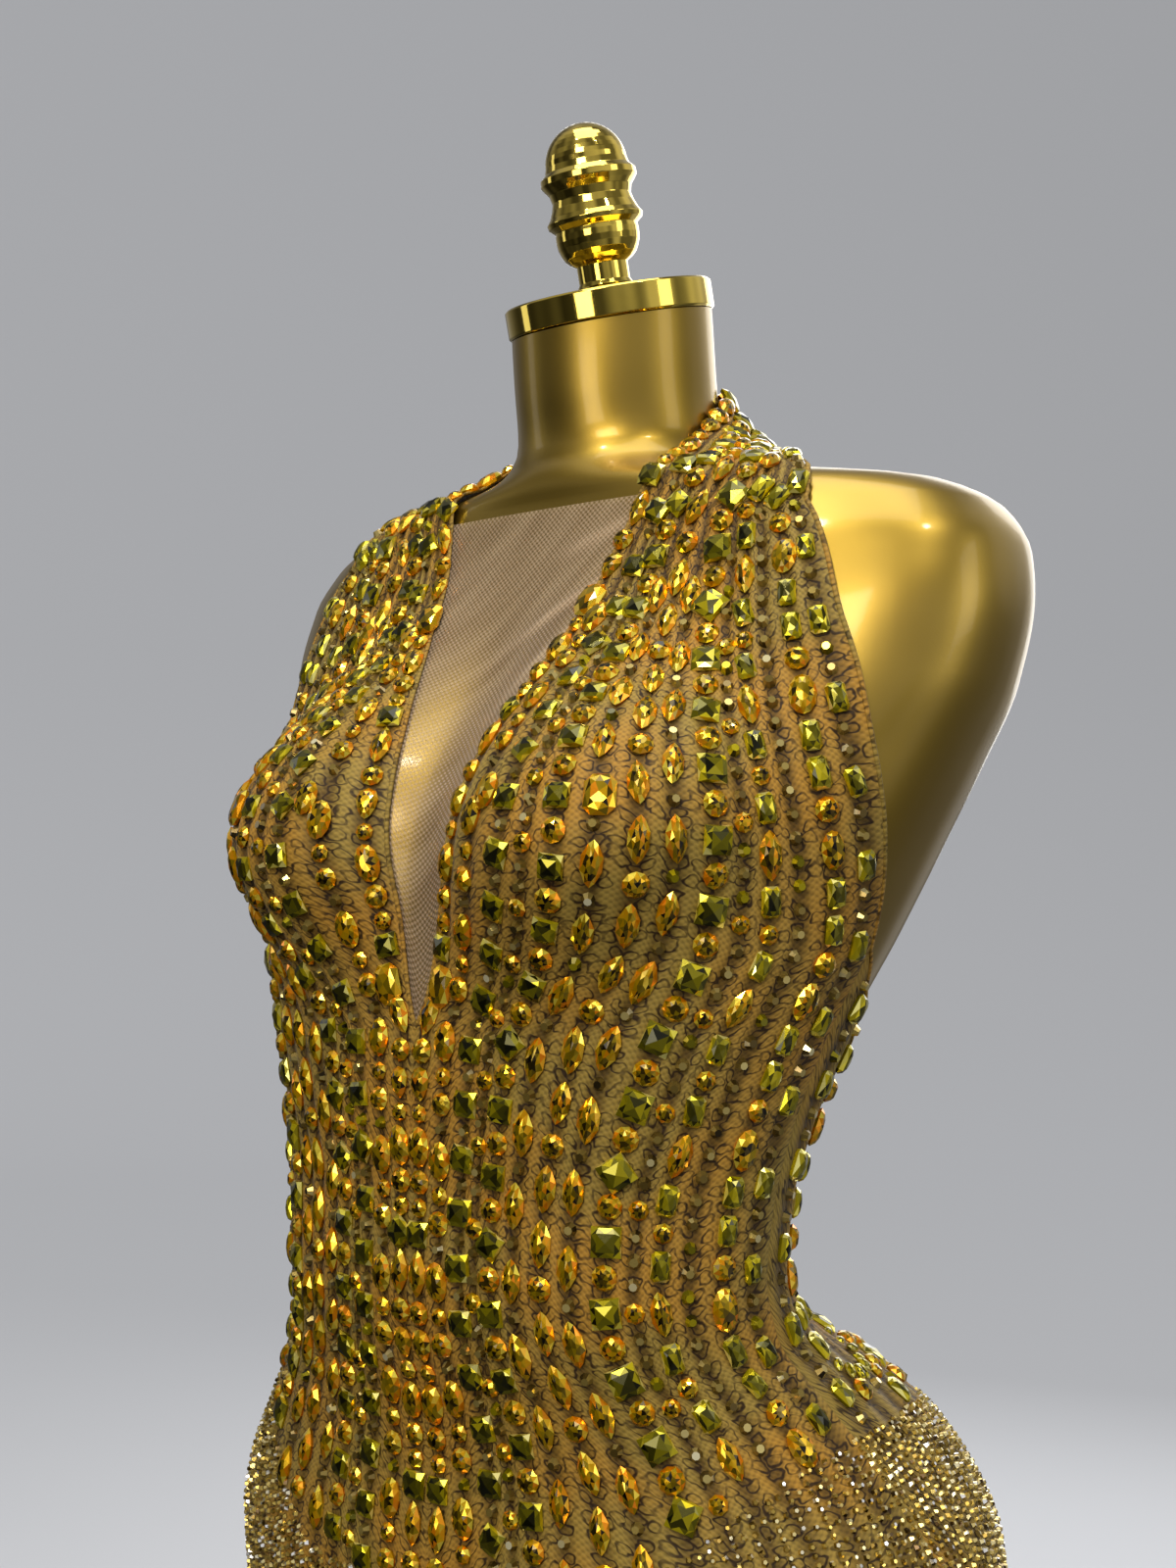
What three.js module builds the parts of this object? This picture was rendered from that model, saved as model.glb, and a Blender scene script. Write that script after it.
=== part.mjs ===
// A stage jumpsuit covered with sew-on stones, dressed on a limbless display form.
//
// The jumpsuit has a halter neck with a deep front plunge filled with tulle, an open low back,
// and two long legs that hang empty below the form. It is cut from four long panels, front and
// back for each side, with a seam at the centre front, centre back, sides and inside legs.
// The form is a moulded torso with a neck cap and a turned finial. It stands on one pole that
// goes down the right leg of the jumpsuit to a round base plate.
//
// Millimetres. +Z is up, the wearer's front faces -Y and the wearer's left side is +X.
// The origin is the centre of the base plate's underside.
import * as THREE from "three";

// Heights above the floor that the whole object is set out from.
const NECK_TOP = 1490;
const CHEST_TOP = 1376;
const SIDE_TOP = 1184;
const PLUNGE_END = 1148;
const STONES_END = 908;
const FORK_TOP = 860;
const CROTCH = 800;
const HEM = 42;

// Cloth and seams.
const CLOTH_GAP = 3;
const CLOTH_WALL = 1.8;
const TULLE_WALL = 1;
const SEAM_HALF_GAP = 0.2;
const SIDE_HALF_GAP = 0.45;
const FRONT_COLUMNS = 14;
const TULLE_COLUMNS = 6;
const ROW_PITCH = 12;

// Sew-on stones, as studs raised from the outer face of the cloth.
const LARGE_STONE = 4.5;
const SMALL_STONE = 2.5;
const STRAP_STONE = 3;

// The stand.
const CAP_TILT = THREE.MathUtils.degToRad(15);
const CAP_RADIUS = 52;
const CAP_THICK = 14.5;
const TOUCH_GAP = 0.3;
const BASE_RADIUS = 170;
const BASE_THICK = 10;
const POLE_RADIUS = 12.5;
const POLE_X = -82;
const FLANGE_RADIUS = 36;
const FLANGE_THICK = 8;
const FORM_FLOOR = 822;

// Horizontal sections of the torso: half width, depth in front of and behind the section's
// centre, squareness of the superellipse, and how far back the centre lies.
const TORSO_SECTIONS = [
  { z: 1490, width: 50, front: 50, back: 50, square: 2.0, centre: 19 },
  { z: 1450, width: 50, front: 51, back: 52, square: 2.0, centre: 23 },
  { z: 1428, width: 52, front: 52, back: 56, square: 2.0, centre: 27 },
  { z: 1416, width: 60, front: 56, back: 61, square: 2.0, centre: 29 },
  { z: 1409, width: 73, front: 62, back: 67, square: 2.0, centre: 31 },
  { z: 1404, width: 98, front: 67, back: 73, square: 2.1, centre: 34 },
  { z: 1399, width: 134, front: 71, back: 78, square: 2.2, centre: 37 },
  { z: 1391, width: 176, front: 74, back: 82, square: 2.3, centre: 40 },
  { z: 1378, width: 197, front: 78, back: 86, square: 2.4, centre: 41 },
  { z: 1360, width: 207, front: 82, back: 89, square: 2.5, centre: 39 },
  { z: 1335, width: 210, front: 86, back: 92, square: 2.5, centre: 34 },
  { z: 1300, width: 205, front: 90, back: 94, square: 2.5, centre: 27 },
  { z: 1265, width: 192, front: 94, back: 95, square: 2.5, centre: 17 },
  { z: 1230, width: 178, front: 97, back: 94, square: 2.5, centre: 6 },
  { z: 1190, width: 163, front: 98, back: 89, square: 2.5, centre: -8 },
  { z: 1150, width: 148, front: 94, back: 81, square: 2.4, centre: -22 },
  { z: 1110, width: 137, front: 85, back: 73, square: 2.2, centre: -34 },
  { z: 1075, width: 131, front: 77, back: 69, square: 2.1, centre: -41 },
  { z: 1045, width: 129, front: 76, back: 69, square: 2.1, centre: -43 },
  { z: 1020, width: 131, front: 79, back: 82, square: 2.1, centre: -38 },
  { z: 990, width: 146, front: 88, back: 110, square: 2.15, centre: -22 },
  { z: 955, width: 170, front: 98, back: 132, square: 2.2, centre: -9 },
  { z: 920, width: 190, front: 105, back: 141, square: 2.2, centre: -4 },
  { z: 895, width: 195, front: 107, back: 142, square: 2.2, centre: -3 },
  { z: 860, width: 195, front: 105, back: 138, square: 2.2, centre: -2 },
  { z: 800, width: 190, front: 98, back: 124, square: 2.2, centre: 0 },
];

// Rounded mounds on the torso, left and right alike: angle from the front, height, how far
// they stand out, and their spread sideways, upwards and downwards.
const MOUNDS = [
  { angle: 32, z: 1243, out: 56, side: 19, up: 50, down: 45 },
  { angle: 134, z: 968, out: 14, side: 24, up: 28, down: 70 },
];

// Each leg as it hangs: its centre, half width, and depth to the front and back.
const LEG_SECTIONS = [
  { z: 800, centreX: 95, centreY: 4, width: 94.5, front: 97, back: 109 },
  { z: 788, centreX: 97, centreY: 4, width: 91, front: 95, back: 105 },
  { z: 760, centreX: 98, centreY: 4, width: 86, front: 91, back: 98 },
  { z: 700, centreX: 95.5, centreY: 3, width: 76.5, front: 82, back: 87 },
  { z: 620, centreX: 91, centreY: 2, width: 67.5, front: 74, back: 77 },
  { z: 540, centreX: 87.5, centreY: 1, width: 61, front: 66, back: 68 },
  { z: 460, centreX: 85, centreY: 0, width: 55, front: 60, back: 61 },
  { z: 400, centreX: 84, centreY: 0, width: 52, front: 55, back: 56 },
  { z: 320, centreX: 83, centreY: 0, width: 49, front: 51, back: 52 },
  { z: 240, centreX: 82, centreY: 0, width: 46, front: 47, back: 48 },
  { z: 160, centreX: 82, centreY: 0, width: 44, front: 45, back: 45 },
  { z: 42, centreX: 82, centreY: 0, width: 43, front: 44, back: 44 },
];
const LEG_FOLDS = { count: 4, depth: 2.6, phase: 0.7, starts: 780, full: 600 };

// The plunge: half its opening, as an angle from the centre front, at each height.
const PLUNGE_EDGE = [
  { z: 1401, angle: 45 },
  { z: 1388, angle: 38.5 },
  { z: 1376, angle: 36 },
  { z: 1359, angle: 32 },
  { z: 1335, angle: 27.5 },
  { z: 1318, angle: 23 },
  { z: 1300, angle: 18.5 },
  { z: 1273, angle: 13 },
  { z: 1246, angle: 10 },
  { z: 1220, angle: 8.5 },
  { z: 1200, angle: 7 },
  { z: 1175, angle: 5 },
  { z: 1160, angle: 3 },
  { z: 1148, angle: 0 },
];

// The bare shoulder: where the front panel stops at each height, down to the side seam.
const SHOULDER_EDGE = [
  { z: 1376, angle: 66 },
  { z: 1352, angle: 67 },
  { z: 1330, angle: 68 },
  { z: 1306, angle: 70 },
  { z: 1284, angle: 72 },
  { z: 1256, angle: 76 },
  { z: 1230, angle: 81 },
  { z: 1206, angle: 86 },
  { z: 1184, angle: 90 },
];

// The open back: height of the back panel's top edge at each angle from the front.
const BACK_EDGE = [
  { angle: 90, z: 1184 },
  { angle: 101, z: 1150 },
  { angle: 115, z: 1112 },
  { angle: 132, z: 1074 },
  { angle: 150, z: 1044 },
  { angle: 165, z: 1030 },
  { angle: 180, z: 1026 },
];

// The halter strap from the nape to the chest: its edge beside the neck, and its outer edge.
const STRAP_ROWS = [
  { neck: [0.8, 77, 1460], outer: [0.8, 86, 1424] },
  { neck: [27, 71, 1457], outer: [32, 82, 1423] },
  { neck: [44, 51, 1449], outer: [58, 70, 1420] },
  { neck: [52, 32, 1436], outer: [82, 50, 1413] },
  { neck: [57, 12, 1422], outer: [104, 24, 1407] },
  { neck: [61, -8, 1409], outer: [121, 2, 1400] },
  { neck: [62, -25, 1401], outer: [134, -11, 1392] },
];
const STRAP_STEPS = 2;

// Turned profile of the finial above the cap: radius, and height over the cap's top face.
const FINIAL_PROFILE = [
  { r: 16.5, h: 0 },
  { r: 16.5, h: 2 },
  { r: 14, h: 5 },
  { r: 12.8, h: 7 },
  { r: 12.8, h: 15.5 },
  { r: 16, h: 17.5 },
  { r: 19.3, h: 22 },
  { r: 20.8, h: 28 },
  { r: 20.5, h: 33 },
  { r: 23.5, h: 35.5 },
  { r: 24, h: 37.5 },
  { r: 22.3, h: 40 },
  { r: 19.7, h: 47.5 },
  { r: 20.6, h: 51.5 },
  { r: 24, h: 56 },
  { r: 23.8, h: 59 },
  { r: 21.2, h: 61.5 },
];
const FINIAL_BALL = { radius: 20.4, centre: 63.5, rings: 6 };

const { degToRad, clamp, lerp, smoothstep } = THREE.MathUtils;

// A smooth curve through a table's rows that never overshoots them.
function curveThrough(rows, key, value) {
  const sorted = [...rows].sort((a, b) => a[key] - b[key]);
  const x = sorted.map((row) => row[key]);
  const y = sorted.map((row) => row[value]);
  const last = x.length - 1;
  const slope = x.slice(1).map((next, i) => (y[i + 1] - y[i]) / (next - x[i]));
  const tangent = x.map((_, i) => {
    if (i === 0 || i === last) return slope[Math.max(0, i - 1)];
    if (slope[i - 1] * slope[i] <= 0) return 0;
    const before = x[i] - x[i - 1];
    const after = x[i + 1] - x[i];
    const w1 = 2 * after + before;
    const w2 = after + 2 * before;
    return (w1 + w2) / (w1 / slope[i - 1] + w2 / slope[i]);
  });
  return (at) => {
    const p = clamp(at, x[0], x[last]);
    let i = 0;
    while (i < last - 1 && p > x[i + 1]) i += 1;
    const h = x[i + 1] - x[i];
    const t = (p - x[i]) / h;
    const t2 = t * t;
    const t3 = t2 * t;
    return (
      y[i] * (2 * t3 - 3 * t2 + 1) +
      y[i + 1] * (3 * t2 - 2 * t3) +
      h * (tangent[i] * (t3 - 2 * t2 + t) + tangent[i + 1] * (t3 - t2))
    );
  };
}

function curvesOf(rows, key, names) {
  return Object.fromEntries(names.map((name) => [name, curveThrough(rows, key, name)]));
}

const torso = curvesOf(TORSO_SECTIONS, "z", ["width", "front", "back", "square", "centre"]);
const leg = curvesOf(LEG_SECTIONS, "z", ["centreX", "centreY", "width", "front", "back"]);
const plungeAngle = curveThrough(PLUNGE_EDGE, "z", "angle");
const shoulderAngle = curveThrough(SHOULDER_EDGE, "z", "angle");
const backEdgeHeight = curveThrough(BACK_EDGE, "angle", "z");

// Height of a rounded mound at a place given in spreads from its middle.
function dome(sideways, upwards) {
  return Math.exp(-0.5 * (sideways ** 2 + upwards ** 2) ** 1.2);
}

// Distance from the section's centre to the torso's surface, at an angle from the front.
function torsoRadius(angle, z) {
  const turn = degToRad(angle);
  const depth = Math.cos(turn) >= 0 ? torso.front(z) : torso.back(z);
  const n = torso.square(z);
  const across = Math.abs(Math.sin(turn)) / torso.width(z);
  const along = Math.abs(Math.cos(turn)) / depth;
  let radius = (across ** n + along ** n) ** (-1 / n);
  for (const mound of MOUNDS) {
    for (const side of [mound.angle, -mound.angle]) {
      const off = THREE.MathUtils.euclideanModulo(angle - side + 180, 360) - 180;
      const rise = z - mound.z;
      radius += mound.out * dome(off / mound.side, rise / (rise > 0 ? mound.up : mound.down));
    }
  }
  return radius;
}

function torsoPoint(angle, z) {
  const radius = torsoRadius(angle, z);
  const turn = degToRad(angle);
  return new THREE.Vector3(radius * Math.sin(turn), torso.centre(z) - radius * Math.cos(turn), z);
}

// Point on the left leg. The angle runs from the front round the outside of the leg.
function legPoint(angle, z) {
  const turn = degToRad(angle);
  const depth = Math.cos(turn) >= 0 ? leg.front(z) : leg.back(z);
  const droop = smoothstep(LEG_FOLDS.starts - z, 0, LEG_FOLDS.starts - LEG_FOLDS.full);
  const fold = 1 + (LEG_FOLDS.depth * droop * Math.cos(LEG_FOLDS.count * turn + LEG_FOLDS.phase)) / leg.width(z);
  return new THREE.Vector3(
    leg.centreX(z) + leg.width(z) * fold * Math.sin(turn),
    leg.centreY(z) - depth * fold * Math.cos(turn),
    z,
  );
}

// Left half of the body at one height, from the centre line (u = 0) to the side seam (u = 1).
// Between the fork's top and the crotch the torso's section closes in on the two legs.
function halfBody(u, z, isFront) {
  const torsoAngle = isFront ? 90 * u : 180 - 90 * u;
  const legAngle = isFront ? 180 * u - 90 : 270 - 180 * u;
  if (z >= FORK_TOP) return torsoPoint(torsoAngle, z);
  if (z < CROTCH) return legPoint(legAngle, z);
  const t = (z - CROTCH) / (FORK_TOP - CROTCH);
  const openness = Math.sqrt(1 - (1 - t) ** 2);
  return legPoint(legAngle, z).lerp(torsoPoint(torsoAngle, z), openness);
}

// Lifts a point of the strap until it is clear of the shoulder slope under it.
function restOnShoulder(point) {
  const lifted = point.clone();
  const step = 0.5;
  for (let i = 0; i < 60; i += 1) {
    const dy = torso.centre(lifted.z) - lifted.y;
    const angle = THREE.MathUtils.radToDeg(Math.atan2(lifted.x, dy));
    if (Math.hypot(lifted.x, dy) >= torsoRadius(angle, lifted.z)) break;
    lifted.z += step;
  }
  return lifted;
}

function rowsBetween(top, bottom, pitch) {
  const count = Math.round((top - bottom) / pitch);
  return Array.from({ length: count + 1 }, (_, i) => lerp(top, bottom, i / count));
}

// Rows where the body forks: evenly spaced along the curve of the crotch seam.
const FORK_ROWS = [1, 0.97, 0.9, 0.75, 0.5, 0.25, 0].map(
  (open) => CROTCH + (FORK_TOP - CROTCH) * (1 - Math.sqrt(1 - open * open)),
);
const HIP_ROWS = [884];
const LEG_ROWS = [790, 772, 742, 700, 650, 596, 540, 480, 420, 360, 300, 240, 180, 120, 80, HEM];
const LOWER_ROWS = [...HIP_ROWS, ...FORK_ROWS, ...LEG_ROWS];

function splineRow(points, at) {
  const vectors = points.map((p) => new THREE.Vector3(...p));
  return new THREE.CatmullRomCurve3(vectors, false, "centripetal").getPoint(at);
}

// Grid of points on the body under the left front panel: one row after another from the
// nape to the hem, each from the centre front (or plunge, or neck) to the side.
function frontGrid() {
  const grid = [];
  const columns = Array.from({ length: FRONT_COLUMNS + 1 }, (_, j) => j / FRONT_COLUMNS);
  const chest = [plungeAngle(CHEST_TOP), shoulderAngle(CHEST_TOP)].map((a) =>
    torsoPoint(a, CHEST_TOP).toArray(),
  );
  const neckEdge = [...STRAP_ROWS.map((row) => row.neck), chest[0]];
  const outerEdge = [...STRAP_ROWS.map((row) => row.outer), chest[1]];
  const strapCount = STRAP_ROWS.length * STRAP_STEPS;
  for (let i = 0; i < strapCount; i += 1) {
    const neck = splineRow(neckEdge, i / strapCount);
    const outer = splineRow(outerEdge, i / strapCount);
    grid.push(columns.map((u) => restOnShoulder(neck.clone().lerp(outer, u))));
  }
  for (const z of rowsBetween(CHEST_TOP, STONES_END, ROW_PITCH)) {
    const from = plungeAngle(z);
    const to = z > SIDE_TOP ? shoulderAngle(z) : 90;
    grid.push(columns.map((u) => torsoPoint(lerp(from, to, u), z)));
  }
  for (const z of LOWER_ROWS) grid.push(columns.map((u) => halfBody(u, z, true)));
  return { grid, strapCount };
}

// The same for the left back panel, from the centre back to the side.
function backGrid() {
  const columns = Array.from({ length: FRONT_COLUMNS + 1 }, (_, j) => j / FRONT_COLUMNS);
  const stoneRows = Math.round((SIDE_TOP - STONES_END) / ROW_PITCH);
  const grid = [];
  for (let i = 0; i <= stoneRows; i += 1) {
    grid.push(
      columns.map((u) => {
        const angle = 180 - 90 * u;
        return torsoPoint(angle, lerp(backEdgeHeight(angle), STONES_END, i / stoneRows));
      }),
    );
  }
  for (const z of LOWER_ROWS) grid.push(columns.map((u) => halfBody(u, z, false)));
  return grid;
}

// Outward normal at each grid point. Along a seam it stays in the seam's plane.
function normalsOf(grid, outwards, seamPlane) {
  return grid.map((row, i) =>
    row.map((_, j) => {
      const down = grid[Math.min(i + 1, grid.length - 1)][j]
        .clone()
        .sub(grid[Math.max(i - 1, 0)][j]);
      const across = row[Math.min(j + 1, row.length - 1)].clone().sub(row[Math.max(j - 1, 0)]);
      const normal = down.cross(across).multiplyScalar(outwards);
      const plane = seamPlane(i, j);
      if (plane) normal[plane] = 0;
      return normal.normalize();
    }),
  );
}

function offsetGrid(grid, normals, distance) {
  return grid.map((row, i) =>
    row.map((point, j) => point.clone().addScaledVector(normals[i][j], distance(i, j))),
  );
}

// Triangles between two edges that have different numbers of points.
function zip(indices, edgeA, edgeB) {
  let a = 0;
  let b = 0;
  while (a < edgeA.length - 1 || b < edgeB.length - 1) {
    const nextA = a < edgeA.length - 1 ? edgeA[a + 1].at : Infinity;
    const nextB = b < edgeB.length - 1 ? edgeB[b + 1].at : Infinity;
    if (nextA <= nextB) {
      indices.push(edgeA[a].id, edgeA[a + 1].id, edgeB[b].id);
      a += 1;
    } else {
      indices.push(edgeA[a].id, edgeB[b + 1].id, edgeB[b].id);
      b += 1;
    }
  }
}

// Closed wall of cloth from a full outer grid and the chosen rows of an inner grid.
function clothWall(outer, inner, innerRows) {
  const positions = [];
  const indices = [];
  const add = (point) => {
    positions.push(point.x, point.y, point.z);
    return positions.length / 3 - 1;
  };
  const outerIds = outer.map((row) => row.map(add));
  const innerIds = innerRows.map((i) => inner[i].map(add));
  const lastColumn = outer[0].length - 1;
  for (let i = 0; i < outerIds.length - 1; i += 1) {
    for (let j = 0; j < lastColumn; j += 1) {
      const [a, b, c, d] = [outerIds[i][j], outerIds[i][j + 1], outerIds[i + 1][j + 1], outerIds[i + 1][j]];
      // The diagonal joins the low corners, so a raised point becomes a four-sided stud.
      if ((i + j) % 2 === 0) indices.push(a, b, d, b, c, d);
      else indices.push(a, b, c, a, c, d);
    }
  }
  for (let i = 0; i < innerIds.length - 1; i += 1) {
    for (let j = 0; j < lastColumn; j += 1) {
      const [a, b, c, d] = [innerIds[i][j], innerIds[i][j + 1], innerIds[i + 1][j + 1], innerIds[i + 1][j]];
      indices.push(a, c, b, a, d, c);
    }
  }
  const across = (ids) => ids.map((id, j) => ({ id, at: j }));
  const along = (ids, at, j) => ids.map((row, i) => ({ id: row[j], at: at(i) }));
  const bottom = outerIds.length - 1;
  zip(indices, across(innerIds[0]), across(outerIds[0]));
  zip(indices, across(outerIds[bottom]), across(innerIds[innerIds.length - 1]));
  const same = (i) => i;
  zip(indices, along(outerIds, same, 0), along(innerIds, (i) => innerRows[i], 0));
  zip(indices, along(innerIds, (i) => innerRows[i], lastColumn), along(outerIds, same, lastColumn));
  return solid(positions, indices);
}

// A geometry from points and triangles, with its faces turned outwards.
function solid(positions, indices) {
  let volume = 0;
  const corner = (k) => new THREE.Vector3().fromArray(positions, indices[k] * 3);
  for (let k = 0; k < indices.length; k += 3) {
    volume += corner(k).dot(corner(k + 1).cross(corner(k + 2)));
  }
  if (volume < 0) {
    for (let k = 0; k < indices.length; k += 3) {
      [indices[k + 1], indices[k + 2]] = [indices[k + 2], indices[k + 1]];
    }
  }
  const geometry = new THREE.BufferGeometry();
  geometry.setAttribute("position", new THREE.Float32BufferAttribute(positions, 3));
  geometry.setIndex(indices);
  geometry.computeVertexNormals();
  return geometry;
}

function mirrored(grid) {
  return grid.map((row) => row.map((p) => new THREE.Vector3(-p.x, p.y, p.z)));
}

// Rows kept on the plain inner face: every second one, and all of them round the fork.
// They are counted from the hem up, so the front and back panels keep the same ones.
function innerRowsOf(count) {
  const forkStart = LEG_ROWS.length;
  const forkEnd = forkStart + FORK_ROWS.length;
  const rows = [];
  for (let i = 0; i < count; i += 1) {
    const up = count - 1 - i;
    const inFork = up >= forkStart && up < forkEnd;
    if (i === 0 || inFork || up % 2 === 0) rows.push(i);
  }
  return rows;
}

// A front or back panel for both sides: the left one, and the right one mirrored from it.
function panelPair({ grid, outwards, seamPlane, stoneHeight, shiftY }) {
  const normals = normalsOf(grid, outwards, seamPlane);
  const inner = offsetGrid(grid, normals, () => CLOTH_GAP);
  const outer = offsetGrid(grid, normals, (i, j) => CLOTH_GAP + CLOTH_WALL + stoneHeight(i, j));
  const rows = innerRowsOf(grid.length);
  const shift = new THREE.Vector3(SEAM_HALF_GAP, shiftY, 0);
  for (const row of [...inner, ...outer]) for (const point of row) point.add(shift);
  return {
    left: clothWall(outer, inner, rows),
    right: clothWall(mirrored(outer), mirrored(inner), rows),
  };
}

// Stones stand on every second point of a column, staggered from one column to the next.
// Even columns carry the large stones and odd columns the small ones. Seam edges stay plain.
function stoneAt(i, j, rowsWithStones, height) {
  const onEdge = j === 0 || j === FRONT_COLUMNS || i === 0 || i >= rowsWithStones;
  if (onEdge || (i + j) % 2 !== 0) return 0;
  return height(i, j);
}

function frontPanels() {
  const { grid, strapCount } = frontGrid();
  const stoneRows = grid.length - LOWER_ROWS.length;
  const crotchRow = grid.length - LEG_ROWS.length - 1;
  const plungeRow = strapCount + Math.round((CHEST_TOP - PLUNGE_END) / ROW_PITCH);
  return panelPair({
    grid,
    outwards: 1,
    shiftY: -SIDE_HALF_GAP,
    seamPlane: (i, j) => {
      if (i === 0 || (j === 0 && i >= plungeRow && i < crotchRow)) return "x";
      if (j <= 1 && i === crotchRow) return "x";
      if (j === 0 && i > crotchRow) return "y";
      if (j === FRONT_COLUMNS && i >= plungeRow - 4) return "y";
      return null;
    },
    stoneHeight: (i, j) =>
      stoneAt(i, j, stoneRows, () => {
        if (i < strapCount) return STRAP_STONE;
        return j % 2 === 0 ? LARGE_STONE : SMALL_STONE;
      }),
  });
}

function backPanels() {
  const grid = backGrid();
  const stoneRows = grid.length - LOWER_ROWS.length;
  const crotchRow = grid.length - LEG_ROWS.length - 1;
  return panelPair({
    grid,
    outwards: -1,
    shiftY: SIDE_HALF_GAP,
    seamPlane: (i, j) => {
      if (j <= 1 && i === crotchRow) return "x";
      if (j === 0) return i < crotchRow ? "x" : "y";
      return j === FRONT_COLUMNS ? "y" : null;
    },
    stoneHeight: (i, j) => stoneAt(i, j, stoneRows, () => (j % 2 === 0 ? LARGE_STONE : SMALL_STONE)),
  });
}

// Tulle that fills the plunge from edge to edge.
function tulleInsert() {
  const zRows = rowsBetween(CHEST_TOP + ROW_PITCH, PLUNGE_END, ROW_PITCH).slice(0, -1);
  const edgeGap = 1;
  const grid = zRows.map((z) => {
    const half = plungeAngle(z) - THREE.MathUtils.radToDeg(edgeGap / torsoRadius(plungeAngle(z), z));
    return Array.from({ length: TULLE_COLUMNS + 1 }, (_, j) =>
      torsoPoint(lerp(-half, half, j / TULLE_COLUMNS), z),
    );
  });
  const normals = normalsOf(grid, 1, () => null);
  const inner = offsetGrid(grid, normals, () => CLOTH_GAP);
  const outer = offsetGrid(grid, normals, () => CLOTH_GAP + TULLE_WALL);
  return clothWall(outer, inner, grid.map((_, i) => i));
}

// Closed skin through rings of points, each end closed by a fan.
function ringSolid(rings) {
  const positions = rings.flat().flatMap((p) => [p.x, p.y, p.z]);
  const size = rings[0].length;
  const indices = [];
  for (let i = 0; i < rings.length - 1; i += 1) {
    for (let j = 0; j < size; j += 1) {
      const next = (j + 1) % size;
      const [a, b, c, d] = [i * size + j, i * size + next, (i + 1) * size + next, (i + 1) * size + j];
      indices.push(a, b, c, a, c, d);
    }
  }
  const endFan = (ring, start, turned) => {
    const middle = ring.reduce((sum, p) => sum.add(p), new THREE.Vector3()).divideScalar(size);
    positions.push(middle.x, middle.y, middle.z);
    const hub = positions.length / 3 - 1;
    for (let j = 0; j < size; j += 1) {
      const [a, b] = [start + j, start + ((j + 1) % size)];
      indices.push(hub, turned ? a : b, turned ? b : a);
    }
  };
  endFan(rings[0], 0, false);
  endFan(rings[rings.length - 1], (rings.length - 1) * size, true);
  return solid(positions, indices);
}

// The moulded torso of the form, from its flat underside to the tilted neck top.
const FORM_QUARTER = 9;
const FORM_ROWS = [
  NECK_TOP, 1466, 1450, 1434, 1424, 1416, 1410, 1406, 1402, 1398, 1391, 1380, 1364, 1344, 1320, 1296,
  1276, 1258, 1242, 1224, 1204, 1180, 1150, 1116, 1086, 1064, 1050, 1040, 1030, 1020, 1008, 994,
  976, 952, 924, 892, ...FORK_ROWS.slice(0, 3),
];

function formRing(z, size = 1) {
  const quarter = (isFront) =>
    Array.from({ length: FORM_QUARTER + 1 }, (_, j) => halfBody(j / FORM_QUARTER, z, isFront));
  const front = quarter(true);
  const back = quarter(false).reverse().slice(1);
  const left = [...front, ...back];
  const right = mirrored([left.slice(1, -1)])[0].reverse();
  const ring = [...left, ...right];
  for (const p of ring) {
    p.x *= size;
    p.y *= size;
  }
  return ring;
}

function formTorso() {
  const rings = FORM_ROWS.map((z) => {
    const tilt = smoothstep(z, 1430, NECK_TOP) * Math.tan(CAP_TILT);
    return formRing(z).map((p) => p.setZ(z + (p.y - torso.centre(z)) * tilt));
  });
  const lowest = FORK_ROWS[2];
  for (const [z, size] of [[829, 0.94], [825, 0.86], [FORM_FLOOR, 0.74]]) {
    rings.push(formRing(lowest, size).map((p) => p.setZ(z)));
  }
  return ringSolid(rings);
}

function turned(profile, segments) {
  const points = profile.map(({ r, h }) => new THREE.Vector2(r, h));
  return new THREE.LatheGeometry(points, segments);
}

function finialProfile() {
  const ball = Array.from({ length: FINIAL_BALL.rings + 1 }, (_, i) => {
    const rise = lerp(degToRad(3), degToRad(90), i / FINIAL_BALL.rings);
    const r = i === FINIAL_BALL.rings ? 0 : FINIAL_BALL.radius * Math.cos(rise);
    return { r, h: FINIAL_BALL.centre + FINIAL_BALL.radius * Math.sin(rise) };
  });
  return [{ r: 0, h: 0 }, ...FINIAL_PROFILE, ...ball];
}

// A disc with its edges eased by a small chamfer.
function disc(radius, thick, ease) {
  return [
    { r: 0, h: 0 },
    { r: radius - ease, h: 0 },
    { r: radius, h: ease },
    { r: radius, h: thick - ease },
    { r: radius - ease, h: thick },
    { r: 0, h: thick },
  ];
}

const FINISHES = {
  cloth: { color: 0x8f7434, roughness: 0.62, metalness: 0.15 },
  tulle: { color: 0xc3a184, roughness: 0.8, metalness: 0 },
  torso: { color: 0xb08a3c, roughness: 0.34, metalness: 0.7 },
  brass: { color: 0xd9c25a, roughness: 0.08, metalness: 1 },
  steel: { color: 0xbfb88f, roughness: 0.25, metalness: 1 },
};

const jumpsuit = new THREE.Group();

function addPiece(parent, name, geometry, finish) {
  const mesh = new THREE.Mesh(geometry, new THREE.MeshStandardMaterial(FINISHES[finish]));
  mesh.name = name;
  parent.add(mesh);
  return mesh;
}

const fronts = frontPanels();
const backs = backPanels();
addPiece(jumpsuit, "front_left", fronts.left, "cloth");
addPiece(jumpsuit, "front_right", fronts.right, "cloth");
addPiece(jumpsuit, "back_left", backs.left, "cloth");
addPiece(jumpsuit, "back_right", backs.right, "cloth");
addPiece(jumpsuit, "plunge_tulle", tulleInsert(), "tulle");

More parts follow.
